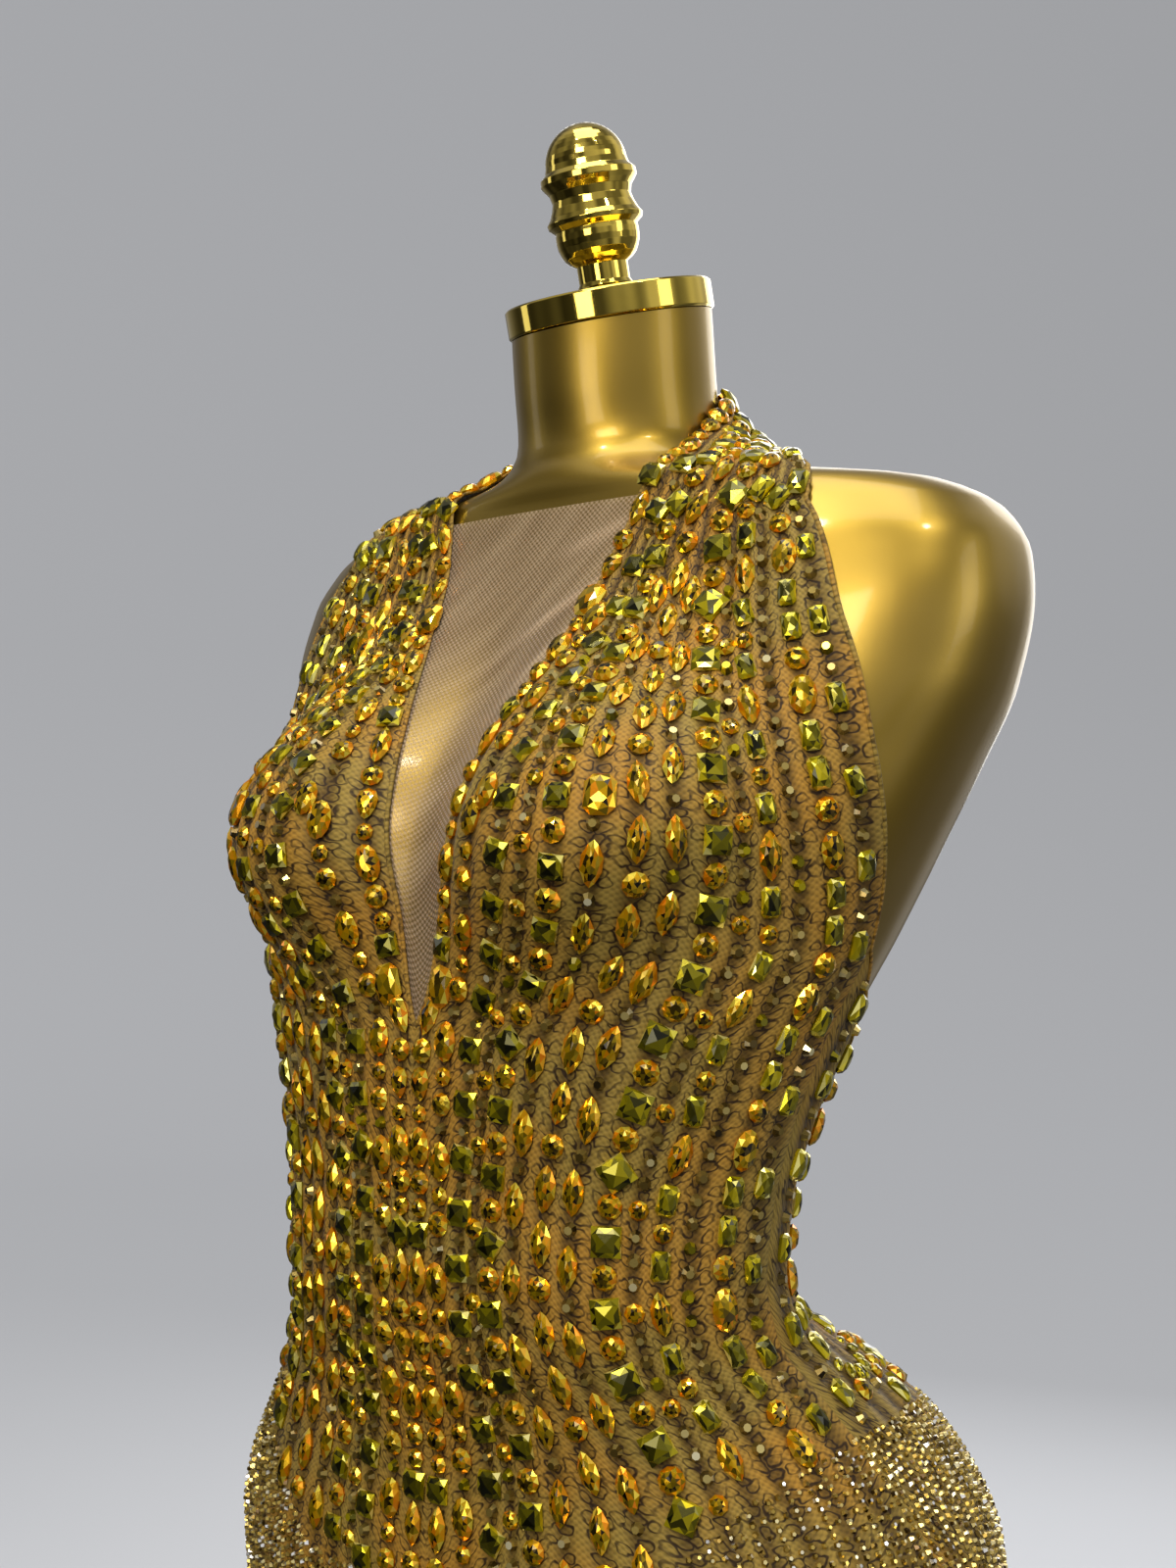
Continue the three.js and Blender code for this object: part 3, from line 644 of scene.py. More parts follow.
nets = {}
for side, flip in (("left", 1), ("right", -1)):
    for part, make, outwards in (("front", front_net, 1), ("back", back_net, -1)):
        body_net = make()
        normals = net_normals(body_net, outwards)
        lift = CLOTH_LIFT + ridge_rise(body_net[..., 2])[..., None]
        nets[f"{part}_{side}"] = {
            "surface": (body_net + normals * lift) * [flip, 1, 1],
            "normals": normals * [flip, 1, 1],
            "flip": flip * outwards,
        }
print("net rows:", {name: len(net["surface"]) for name, net in nets.items()})

# %% [markdown]
# ## Power mesh cloth
#
# The ground is a gold stretch net. Brown bands lie on it under the columns of stones, partly print
# and partly painted shade of the stones, with small curls in them, and lighter stripes lie between.
# The net's holes are about 1 mm apart on the real cloth, and are drawn 2 mm apart so that they
# show. The pattern lies in the cloth's own measure, which is stretched so that each band runs
# under its column of stones.

# %% A net of round holes
HOLE_WAVE = 2.8


def net_of_holes(tree, uv):
    """Height of a net: waves across and down the cloth, 2.8 mm long, cross in holes 2 mm apart."""
    measures = add_node(tree, "ShaderNodeSeparateXYZ", inputs={"Vector": uv})
    waves = []
    for axis in ("X", "Y"):
        scaled = add_node(
            tree,
            "ShaderNodeMath",
            {"operation": "MULTIPLY"},
            {0: measures.outputs[axis], 1: 2 * math.pi / HOLE_WAVE},
        )
        wave = add_node(tree, "ShaderNodeMath", {"operation": "SINE"}, {0: scaled.outputs[0]})
        waves.append(wave.outputs[0])
    crossed = add_node(tree, "ShaderNodeMath", {"operation": "MULTIPLY"}, {0: waves[0], 1: waves[1]})
    return crossed.outputs[0]


# %% The bands: print with painted shade of the stones
power_mesh, tree, shader = new_material(
    "gold_power_mesh",
    Roughness=0.65,
    Specular_IOR_Level=0.25,
    Sheen_Weight=0.08,
    Sheen_Roughness=0.4,
)
cloth_uv = add_node(tree, "ShaderNodeUVMap", {"uv_map": "cloth"}).outputs["UV"]
split = add_node(tree, "ShaderNodeSeparateXYZ", inputs={"Vector": cloth_uv})
turn = add_node(
    tree,
    "ShaderNodeMath",
    {"operation": "MULTIPLY_ADD"},
    {0: split.outputs["X"], 1: 2 * math.pi / STRIPE, 2: -math.pi},
)
stripe = add_node(tree, "ShaderNodeMath", {"operation": "COSINE"}, {0: turn.outputs[0]})
# The bands' borders wander by about 1 mm, every 4 mm or so.
wander = add_node(tree, "ShaderNodeTexNoise", inputs={"Vector": cloth_uv, "Scale": 0.28, "Detail": 2.0})
ragged = add_node(
    tree,
    "ShaderNodeMath",
    {"operation": "MULTIPLY_ADD"},
    {0: wander.outputs["Fac"], 1: 1.5, 2: stripe.outputs[0]},
)
# Below the hips the bands fade, and only curls on a plainer ground are left.
place = add_node(tree, "ShaderNodeTexCoord").outputs["Object"]
height = add_node(tree, "ShaderNodeSeparateXYZ", inputs={"Vector": place})
strength = add_node(
    tree,
    "ShaderNodeMapRange",
    inputs={"Value": height.outputs["Z"], "From Min": 0.84, "From Max": 0.98, "To Min": 0.3, "To Max": 0.85},
)
band = add_node(
    tree,
    "ShaderNodeMapRange",
    inputs={
        "Value": ragged.outputs[0],
        "From Min": 0.0,
        "From Max": 1.6,
        "To Max": strength.outputs["Result"],
    },
)
# Warm patches about 60 mm across show in the lighter stripes.
patches = add_node(tree, "ShaderNodeTexNoise", inputs={"Vector": cloth_uv, "Scale": 0.016, "Detail": 1.0})
plain = add_node(
    tree,
    "ShaderNodeValToRGB",
    inputs={"Fac": patches.outputs["Fac"]},
    stops=[(0.42, "#967e38"), (0.6, "#aa7f2e")],
)
# Under each column the ground darkens to brown: partly the printed band, partly painted shade of the stones.
ground = add_node(
    tree,
    "ShaderNodeMix",
    {"data_type": "RGBA"},
    {"Factor": band.outputs["Result"], "A": plain.outputs["Color"], "B": linear("#503a10")},
)
print("printed bands, mm apart:", STRIPE)

# %% The printed curls
# Rings about 5 mm across, bent and broken by a noise, inside and beside the bands.
bend = add_node(tree, "ShaderNodeTexNoise", inputs={"Vector": cloth_uv, "Scale": 0.2, "Detail": 1.0})
bent = add_node(
    tree,
    "ShaderNodeVectorMath",
    {"operation": "MULTIPLY_ADD"},
    {0: bend.outputs["Color"], 1: (5.0, 5.0, 0.0), 2: cloth_uv},
)
cells = add_node(
    tree,
    "ShaderNodeTexVoronoi",
    {"voronoi_dimensions": "2D"},
    {"Vector": bent.outputs[0], "Scale": 0.16},
)
off_ring = add_node(
    tree,
    "ShaderNodeMath",
    {"operation": "SUBTRACT"},
    {0: cells.outputs["Distance"], 1: 0.36},
)
ring_gap = add_node(tree, "ShaderNodeMath", {"operation": "ABSOLUTE"}, {0: off_ring.outputs[0]})
curls = add_node(
    tree,
    "ShaderNodeMapRange",
    inputs={"Value": ring_gap.outputs[0], "From Min": 0.04, "From Max": 0.1, "To Min": 1.0, "To Max": 0.0},
)
near_band = add_node(
    tree,
    "ShaderNodeMapRange",
    inputs={"Value": ragged.outputs[0], "From Min": -1.1, "From Max": 0.3, "To Min": 0.0, "To Max": 0.95},
)
inked = add_node(
    tree,
    "ShaderNodeMath",
    {"operation": "MULTIPLY"},
    {0: curls.outputs["Result"], 1: near_band.outputs["Result"]},
)
printed = add_node(
    tree,
    "ShaderNodeMix",
    {"data_type": "RGBA"},
    {"Factor": inked.outputs[0], "A": ground.outputs["Result"], "B": linear("#2a1803")},
)
print("nodes of the print:", len(tree.nodes))

# %% The holes between the threads
knit = net_of_holes(tree, cloth_uv)
holes = add_node(
    tree,
    "ShaderNodeMapRange",
    inputs={"Value": knit, "From Min": -1.0, "From Max": 0.4, "To Min": 0.62, "To Max": 1.0},
)
netted = add_node(
    tree,
    "ShaderNodeMix",
    {"data_type": "RGBA", "blend_type": "MULTIPLY"},
    {"Factor": 1.0, "A": printed.outputs["Result"], "B": holes.outputs["Result"]},
)
tree.links.new(netted.outputs["Result"], shader.inputs["Base Color"])
relief = add_node(tree, "ShaderNodeBump", inputs={"Height": knit, "Strength": 0.25, "Distance": 0.0003})
tree.links.new(relief.outputs["Normal"], shader.inputs["Normal"])
print(power_mesh.name, "nodes:", len(tree.nodes))

# %% [markdown]
# ## The panels as sheets
#
# Each panel is a single skin laid 2.4 mm off the form, where the tension of the stretch net
# holds it, and 1.2 mm further out in its ridges.


for name, net in nets.items():
    surface = net["surface"]
    rows, columns = surface.shape[:2]
    down = np.linalg.norm(np.diff(surface, axis=0, prepend=surface[:1]), axis=-1).cumsum(axis=0)
    across = np.broadcast_to(across_cloth, down.shape)
    uv = np.stack([across, down], -1).reshape(-1, 2)
    faces = grid_faces(rows, columns)
    if net["flip"] < 0:
        faces = faces[:, ::-1]
    piece = new_piece(f"{name}_cloth", surface.reshape(-1, 3), faces, power_mesh, uv=uv)
    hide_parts(name)
    part = name.split("_")[0]

# %% [markdown]
# ## Tulle in the plunge
#
# A triangle of sheer nude tulle closes the plunge. It is so fine that the form's gold shines
# through. Its holes are drawn 2 mm apart, and the threads between them hide a little more.

# %% The look of the tulle
nude_tulle, tree, shader = new_material("nude_stretch_tulle", Roughness=0.6, Sheen_Weight=0.4)
tulle_uv = add_node(tree, "ShaderNodeUVMap", {"uv_map": "cloth"}).outputs["UV"]
threads = net_of_holes(tree, tulle_uv)
# Long soft streaks, about 12 mm apart, run down from the left shoulder where the tulle is pulled.
# There the tulle hides more of the form, and a painted sheen lightens its colour.
pull = add_node(
    tree,
    "ShaderNodeMapping",
    {"vector_type": "TEXTURE"},
    {"Vector": tulle_uv, "Rotation": (0, 0, math.radians(-50)), "Scale": (90, 12, 1)},
)
streaks = add_node(
    tree,
    "ShaderNodeTexNoise",
    inputs={"Vector": pull.outputs["Vector"], "Scale": 1.0, "Detail": 2.0},
)
pulled = add_node(
    tree,
    "ShaderNodeMath",
    {"operation": "MULTIPLY_ADD"},
    {0: streaks.outputs["Fac"], 1: 1.0, 2: threads},
)
cover = add_node(
    tree,
    "ShaderNodeMapRange",
    inputs={"Value": pulled.outputs[0], "From Min": -0.4, "From Max": 1.4, "To Min": 0.1, "To Max": 0.62},
)
# A fold turns the net edge on to the eye, so its threads hide more there.
folds = add_node(tree, "ShaderNodeAttribute", {"attribute_name": "fold"})
folded = add_node(
    tree,
    "ShaderNodeMath",
    {"operation": "MULTIPLY_ADD"},
    {0: folds.outputs["Fac"], 1: 0.3, 2: cover.outputs["Result"]},
)
tree.links.new(folded.outputs[0], shader.inputs["Alpha"])
# The nude colour with a painted sheen, lighter along the streaks.
nude_tone_and_sheen = add_node(
    tree,
    "ShaderNodeValToRGB",
    inputs={"Fac": streaks.outputs["Fac"]},
    stops=[(0.3, "#b69a7c"), (0.7, "#c4aa88")],
)
tree.links.new(nude_tone_and_sheen.outputs["Color"], shader.inputs["Base Color"])
print(nude_tulle.name, "nodes:", len(tree.nodes))

# %% Tulle insert with its pulled folds
TULLE_TOP = 1388
# The tulle is sewn on from behind: it lies a little deeper than the fronts and runs under them.
TULLE_LIFT = CLOTH_LIFT - 0.7
TUCKED_UNDER = 1.2
# The left front pulls it into soft folds, each a ridge from the cloth's edge down to the right.
PULLED_FOLDS = [
    # x and z of the start, x and z of the end, half width, height
    (67, 1360, -12, 1309, 2.4, 0.9),
    (62, 1345, 12, 1290, 3.0, 0.7),
    (56, 1377, 12, 1360, 3.4, 0.6),
    (48, 1322, 20, 1282, 2.6, 0.5),
]


def fold_rise(points):
    rise = np.zeros(points.shape[:2])
    for start_x, start_z, end_x, end_z, half_width, height in PULLED_FOLDS:
        way_x, way_z = end_x - start_x, end_z - start_z
        length = math.hypot(way_x, way_z)
        x, z = points[..., 0] - start_x, points[..., 2] - start_z
        along = (x * way_x + z * way_z) / length**2
        aside = (x * way_z - z * way_x) / length
        fade = eased(np.interp(along, [0, 0.12, 0.5, 1], [0, 1, 1, 0]))
        rise += height * np.exp(-((aside / half_width) ** 2)) * fade
    return rise


tulle_rows = []
for z in np.linspace(TULLE_TOP, PLUNGE_END + 3, 150):
    half = float(plunge_angle(z)) + TUCKED_UNDER
    tulle_rows.append(torso_point(np.linspace(-half, half, 97), z))
tulle_net = np.array(tulle_rows)
tulle_folds = fold_rise(tulle_net)
tulle_net = tulle_net + net_normals(tulle_net, 1) * (TULLE_LIFT + tulle_folds)[..., None]
tulle_down = np.linalg.norm(np.diff(tulle_net, axis=0, prepend=tulle_net[:1]), axis=-1).cumsum(axis=0)
tulle = new_piece(
    "plunge_tulle_sheet",
    tulle_net.reshape(-1, 3),
    grid_faces(*tulle_net.shape[:2]),
    nude_tulle,
    uv=np.stack([tulle_net[..., 0], tulle_down], -1).reshape(-1, 2),
    values={"fold": tulle_folds[:-1, :-1].ravel()},
)
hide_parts("plunge_tulle")

# %% [markdown]
# ## Cut stones
#
# A sew-on stone is pressed glass with a flat back, a foil behind it and a faceted top. The foil
# throws light back through the glass, so some facets blaze and their neighbours look almost
# black. Clear glass over foil renders slowly and shows little at this size. Here each facet is a
# flat face with a painted reflection of the foil, from a painted dark to a painted blaze, under a
# glossy surface that mirrors the lights.


# %% Stone outlines
def oval_outline(width, length, count):
    a = np.linspace(0, 2 * math.pi, count, endpoint=False)
    return np.stack([width / 2 * np.sin(a), length / 2 * np.cos(a)], -1)


def leaf_outline(width, length, count):
    a = np.linspace(0, 2 * math.pi, count, endpoint=False)
    bulge = np.sin(a) * np.abs(np.sin(a)) ** 0.7
    return np.stack([width / 2 * bulge, length / 2 * np.cos(a)], -1)


def pear_outline(width, length, count):
    a = np.linspace(0, 2 * math.pi, count, endpoint=False)
    return np.stack([width / 2 * np.sin(a) * (1 - 0.35 * np.cos(a)), length / 2 * np.cos(a)], -1)


def box_outline(width, length, corner=0.0):
    w, h = width / 2, length / 2
    if corner:
        c = corner
        right = [(w - c, h), (w, h - c), (w, c - h), (w - c, -h)]
        left = [(c - w, -h), (-w, c - h), (-w, h - c), (c - w, h)]
        return np.array(right + left)
    return np.array([(w, h), (w, 0), (w, -h), (0, -h), (-w, -h), (-w, 0), (-w, h), (0, h)])


def cut_stone(outline, height, table, table_parts=1, peak=1.02, heart=0.3):
    """Faceted stone: its points and triangles, the facet of each triangle, each facet's painted reflection
    of the foil.
    """
    n = len(outline)
    between = (outline + np.roll(outline, -1, axis=0)) / 2
    rings = [
        (outline * 0.9, 0.0),
        (outline, height * 0.36),
        (between * (table + 0.34), height * 0.8),
        (outline * table, height),
    ]
    points = [np.column_stack([ring, np.full(n, z)]) for ring, z in rings]
    points.append(np.array([[0.0, 0.0, height * peak]]))
    triangles, facets = [], []
    for j in range(n):
        k = (j + 1) % n
        side = [(j, n + j, n + k), (j, n + k, k)]
        crown = [(n + j, 2 * n + j, n + k), (n + k, 2 * n + j, 2 * n + k)]
        star = [(2 * n + j, 3 * n + j, 3 * n + k), (2 * n + j, 3 * n + k, 2 * n + k)]
        triangles += side + crown + star + [(3 * n + j, 4 * n, 3 * n + k)]
        facets += [j, j, n + 2 * j, n + 2 * j + 1, 3 * n + 2 * j, 3 * n + 2 * j + 1]
        facets += [5 * n + j * table_parts // n]
    # Painted reflections of the foil on each facet: the crown facets painted bright and darker by turns, the
    # star facets darker, the sides between, the table at heart.
    crown_light = np.tile([0.86, 0.6], n)
    star_light = np.tile([0.28, 0.5], n)
    painted_facet_light = np.r_[np.full(n, 0.72), crown_light, star_light, np.full(table_parts, heart)]
    return np.concatenate(points), np.array(triangles), np.array(facets), painted_facet_light


def small_stone(size, height, count=6):
    """Small stone: a low cone cut off by a flat table."""
    ring = oval_outline(size, size, count)
    points = np.concatenate(
        [
            np.column_stack([ring, np.zeros(count)]),
            np.column_stack([ring * 0.55, np.full(count, height)]),
            [[0.0, 0.0, height]],
        ]
    )
    triangles, facets = [], []
    for j in range(count):
        k = (j + 1) % count
        triangles += [(j, count + j, count + k), (j, count + k, k), (count + j, 2 * count, count + k)]
        facets += [j, j, count]
    # Painted reflections of the foil: one painted brightness for the sides, a brighter one for the table.
    return points, np.array(triangles), np.array(facets), np.r_[np.full(count, 0.46), 0.56]


STONES = {
    "square": cut_stone(box_outline(11, 11), 4.0, 0.6, 4, 1.22, 0.24),
    "big_square": cut_stone(box_outline(12.6, 12.6), 4.2, 0.6, 4, 1.22, 0.36),
    "oblong": cut_stone(box_outline(8.5, 13, 1.6), 4.2, 0.5, 2, 1.1, 0.4),
    "octagon": cut_stone(box_outline(13.5, 18, 3.4), 4.6, 0.5, 4, 1.1, 0.42),
    "round": cut_stone(oval_outline(11, 11, 10), 4.4, 0.42, 5),
    "small_round": cut_stone(oval_outline(8.6, 8.6, 8), 3.6, 0.42, 4),
    "oval": cut_stone(oval_outline(11.5, 17.5, 12), 4.6, 0.46, 6, 1.05, 0.36),
    "leaf": cut_stone(leaf_outline(10, 20, 10), 4.2, 0.4, 5, 1.1, 0.42),
    "pear": cut_stone(pear_outline(9.5, 14.5, 10), 4.2, 0.42, 5),
    "bead": small_stone(6.2, 2.8, 8),
    "grain": cut_stone(oval_outline(4.6, 8.6, 8), 2.6, 0.5, 2, 1.1, 0.5),
    "seed": small_stone(3.2, 1.6, 5),
}
print("stone triangles:", {name: len(stone[1]) for name, stone in STONES.items()})


# %% Foil-backed glass in the stones' colours, with painted reflections of the foil
GLASS_TINTS_AND_PAINTED_LIGHT = {
    # painted reflection of the foil: from a painted dark facet, through the glass's own colour, to a painted
    # blaze
    "amber": [
        (0.0, "#120c00"), (0.2, "#4a3a02"), (0.42, "#a08604"),
        (0.6, "#dca800"), (0.82, "#f08a00"), (1.0, "#ffe650"),
    ],
    "olive": [
        (0.0, "#1a1a04"), (0.25, "#4a4606"), (0.45, "#807808"),
        (0.65, "#b4a40c"), (0.85, "#ecd81e"), (1.0, "#fff590"),
    ],
    "smoke": [(0.0, "#2c2208"), (0.35, "#6e5a26"), (0.6, "#a48e48"), (0.85, "#d8c680"), (1.0, "#fff6cc")],
    "champagne": [(0.0, "#3c2a08"), (0.3, "#a08434"), (0.6, "#dcc064"), (0.85, "#fff0b4"), (1.0, "#ffffff")],
}
glass = {}
for colour, stops in GLASS_TINTS_AND_PAINTED_LIGHT.items():
    is_tiny = colour == "champagne"
    material, tree, shader = new_material(
        f"{colour}_foiled_glass",
        Metallic=0.8 if is_tiny else 0.66,
        Roughness=0.18 if is_tiny else 0.14,
        Coat_Weight=0.18,
        Coat_Roughness=0.03,
    )
    # Each facet's painted reflection of the foil, stored as depth, picks its colour from the ramp.
    depth = add_node(tree, "ShaderNodeAttribute", {"attribute_name": "depth"})
    tint = add_node(tree, "ShaderNodeValToRGB", inputs={"Fac": depth.outputs["Fac"]}, stops=stops)
    tree.links.new(tint.outputs["Color"], shader.inputs["Base Color"])
    glass[colour] = material
print("colours of glass:", ", ".join(glass))

# %% [markdown]
# ## Sewing the stones on
#
# The columns of stones start along the halter strap, fan out over the bust, draw together at the
# waist and fan out again. Each column repeats its own short recipe of shapes. A helper walks down
# a column of the net and gives a place, a downward and an outward direction at each step.

# %% Walking along the cloth
placed = {}
taken = []


def line_of(net, column):
    """Points, outward directions and lengths along a column of the net."""
    j = int(min(column * FINE, COLUMNS * FINE - 1))
    f = column * FINE - j
    line = net["surface"][:, j] * (1 - f) + net["surface"][:, j + 1] * f
    out = net["normals"][:, j] * (1 - f) + net["normals"][:, j + 1] * f
    return line, out, run_along(line)


def stand_on(net, column, stops, lift=0.1):
    """Place, downward and outward direction at each distance along a column, in millimetres."""
    line, out, length = line_of(net, column)
    stops = np.asarray(stops, float)
    stops = stops[stops < length[-1] - 2]
    places = np.stack([np.interp(stops, length, line[:, c]) for c in range(3)], -1)
    outs = np.stack([np.interp(stops, length, out[:, c]) for c in range(3)], -1)
    ahead = np.stack([np.interp(stops + 2, length, line[:, c]) for c in range(3)], -1)
    outs /= np.linalg.norm(outs, axis=1, keepdims=True)
    downs = ahead - places
    downs -= outs * (downs * outs).sum(1, keepdims=True)
    downs /= np.maximum(np.linalg.norm(downs, axis=1, keepdims=True), 1e-9)
    return places + outs * lift, downs, outs


print("from nape to hem down a front, mm:", round(float(line_of(nets["front_left"], 20)[2][-1])))


# %% One stone on the cloth
def sew(kind, colour, place, down, out, size=1.0, turn=0.0):
    across = np.cross(out, down)
    cos, sin = math.cos(turn), math.sin(turn)
    x_axis = across * cos + down * sin
    y_axis = down * cos - across * sin
    placed.setdefault((kind, colour), []).append((place, x_axis, y_axis, out, size))


def is_free(place, reach):
    """True where no stone sewn before stands within reach."""
    if not taken:
        return True
    others = np.array(taken)
    apart = np.linalg.norm(others[:, :3] - place, axis=1)
    return bool((apart > others[:, 3] + reach).all())


# %% What each column repeats
BIG_AMBER = [("oval", "amber"), ("round", "amber"), ("small_round", "amber"), ("square", "olive")]
RECIPES = [
    # gap between stones, and the stones that repeat down the column
    (1.2, BIG_AMBER + [("leaf", "amber"), ("round", "amber"), ("pear", "amber"), ("small_round", "amber")]),
    (2.0, [("oval", "amber"), ("small_round", "amber"), ("round", "amber"), ("bead", "smoke")]),
    (2.9, [("square", "olive"), ("bead", "smoke")]),
    (2.2, [("bead", "smoke"), ("bead", "smoke"), ("small_round", "amber")]),
    (3.2, [("square", "olive"), ("round", "amber")]),
    (2.4, [("leaf", "amber"), ("bead", "smoke")]),
    (2.8, [("leaf", "amber"), ("round", "amber"), ("leaf", "amber")]),
    (2.4, [("leaf", "amber"), ("bead", "smoke")]),
    (2.6, [("big_square", "olive"), ("round", "amber")]),
    (3.6, [("bead", "smoke"), ("bead", "smoke"), ("bead", "smoke"), ("small_round", "amber")]),
    (2.6, [("leaf", "amber"), ("oblong", "olive"), ("small_round", "amber"), ("oblong", "olive")]),
    (3.6, [("bead", "smoke")]),
    (3.0, [("oblong", "olive"), ("round", "amber"), ("oval", "amber"), ("oblong", "olive")]),
    (3.4, [("oblong", "olive"), ("bead", "smoke"), ("bead", "smoke")]),
]
# Single large stones: shape, column of the net and height.
LONE_STONES = [("octagon", 1.5, 1337), ("octagon", 23.5, 1246), ("octagon", 3.5, 1167), ("oval", 9.5, 1249)]
HALF = {
    # half length down the column, and half width across it
    "square": (5.5, 5.5),
    "big_square": (6.3, 6.3),
    "oblong": (6.5, 4.3),
    "octagon": (8.8, 6.5),
    "round": (5.5, 5.5),
    "small_round": (4.3, 4.3),
    "oval": (8.5, 5.8),
    "leaf": (10, 4.5),
    "pear": (7.3, 4.8),
    "bead": (3.1, 3.1),
}
print("columns with a recipe:", len(RECIPES), "and lone stones on each front:", len(LONE_STONES))


# %% How one column is sewn, and a half moon
def angle_of(place):
    return math.degrees(math.atan2(place[0], float(centre_at(place[2])) - place[1]))


def stones_end(place):
    """Height where the large stones stop: low in front, and high over the hips and seat."""
    angles = [0, 38, 50, 60, 72, 84, 110, 128, 150, 180]
    heights = [906, 912, 936, 954, 974, 982, 985, 977, 968, 964]
    return float(np.interp(abs(angle_of(place)), angles, heights))


def keep_clear(place, down, half_length, half_width):
    spread = half_length - half_width
    for shift in (-spread, 0, spread) if spread > 1 else (0,):
        taken.append((*(place + down * shift), half_width))


def sew_column(net, column, recipe, start, gap):
    length = line_of(net, column)[2][-1]
    at, k = start, 0
    while at < length:
        kind, colour = recipe[k % len(recipe)]
        half_length, half_width = HALF[kind]
        places, downs, outs = stand_on(net, column, [at + half_length])
        if not len(places) or places[0][2] < stones_end(places[0]):
            return
        place, down, out = places[0], downs[0], outs[0]
        if not is_free(place, half_width * 0.86):
            at += 1.5
            continue
        turn = rng.normal(0, 0.07)
        if kind in ("square", "big_square") and rng.random() < 0.2:
            turn += math.pi / 5
        if kind == "bead" and rng.random() < 0.12:
            colour = "olive"
        sew(kind, colour, place, down, out, 1 + rng.normal(0, 0.03), turn)
        keep_clear(place, down, half_length, half_width)
        at += 2 * half_length + gap
        k += 1


def onto(net, place):
    """The place moved square to the cloth until it lies on the net, and the outward direction there."""
    surface = net["surface"].reshape(-1, 3)
    nearest = int(np.argmin(np.linalg.norm(surface - place, axis=1)))
    out = net["normals"].reshape(-1, 3)[nearest]
    return place + out * (np.dot(surface[nearest] - place, out) + 0.1), out


def half_moon(net, column, row, radius=19):
    """Bare half moon at the top of the hip, with a bow of narrow stones under it."""
    centre, out = onto(net, net["surface"][row, column * FINE])
    down = net["surface"][row + 1, column * FINE] - centre
    down -= out * np.dot(down, out)
    down /= np.linalg.norm(down)
    across = np.cross(out, down)
    keep_clear(centre, down, radius - 4, radius - 4)
    for a in np.radians(np.linspace(-80, 80, 9)):
        away = down * math.cos(a) + across * math.sin(a)
        place, out_there = onto(net, centre + away * radius)
        away -= out_there * np.dot(away, out_there)
        sew("grain", "olive", place, away / np.linalg.norm(away), out_there)
        keep_clear(place, away, 4.5, 2.6)


# %% Sewing the four panels
SEWING_ORDER = [0, 13, 4, 8, 2, 6, 10, 12, 1, 5, 7, 3, 9, 11]
# Column and row of the net in the middle of the half moon.
HALF_MOON = (44, 36)
BEAD_PITCH = 7.6
for name, net in nets.items():
    taken.clear()
    if name.startswith("front"):
        for kind, column, z in LONE_STONES:
            line, out, length = line_of(net, column)
            at = float(np.interp(-z, -line[:, 2], length))
            places, downs, outs = stand_on(net, column, [at])
            sew(kind, "amber", places[0], downs[0], outs[0])
            keep_clear(places[0], downs[0], *HALF[kind])
    else:
        half_moon(net, *HALF_MOON)
    for k in SEWING_ORDER:
        gap, recipe = RECIPES[k]
        sew_column(net, STONE_COLUMNS[k], recipe, 3.0 + (k * 5) % 9, gap)
    # Beads fill the wider gaps where the columns part, on the strap, the chest and the sides.
    for column in np.arange(2.0, COLUMNS, 2.0):
        places, downs, outs = stand_on(net, column, np.arange(4.0 + (column % 4), 700, BEAD_PITCH))
        for place, down, out in zip(places, downs, outs):
            wide = place[2] > 1296 or column > 38 or name.startswith("back")
            if wide and place[2] > stones_end(place) + 2 and is_free(place, 4.4):
                colour = "smoke" if rng.random() < 0.7 else "champagne"
                sew("bead", colour, place, down, out, 0.78 + 0.2 * rng.random())
                keep_clear(place, down, 3, 3)
print("stones sewn:", {f"{kind} {colour}": len(sewn) for (kind, colour), sewn in placed.items()})

# %% [markdown]
# ## Lines of tiny stones on the hips and legs
#
# Below the large stones the cloth is lined with tiny champagne stones. On the seat and the right
# hip the lines lie side by side and hide the cloth. Over the left hip they spread out, and down
# the legs they run about 7 mm apart. Each panel's stones make one mesh.

# %% Tiny stones
# Degrees round from the front where the close lines begin.
DENSE_FROM = {"left": 96, "right": 47}
SEED_PITCH = 3.7
seed_places = {name: [] for name in nets}
for name, net in nets.items():
    side = name.split("_")[1]
    for column in np.arange(0.5, COLUMNS, 1.0):
        places, downs, outs = stand_on(net, column, np.arange(3.0 + (column % 2) * 1.8, 1500, SEED_PITCH))
        for i, (place, down, out) in enumerate(zip(places, downs, outs)):
            z = place[2]
            below = stones_end(place) - 4 - z
            if below < 0:
                continue
            angle = abs(angle_of(place)) if z > CROTCH else 180.0
            dense = angle > DENSE_FROM[side] - rng.random() * 10
            fade = 560 + 200 * rng.random()
            k = int(column)
            wanted = z > fade and (dense or k % 2 == 0 and (i % 2 == 0 or below > 30))
            wanted = wanted or (k % 2 == 1 and (i % 2 == (k // 2) % 2 or z > 600))
            if wanted:
                seed_places[name].append((place, down, out))
print("tiny stones:", {name: len(seeds) for name, seeds in seed_places.items()})

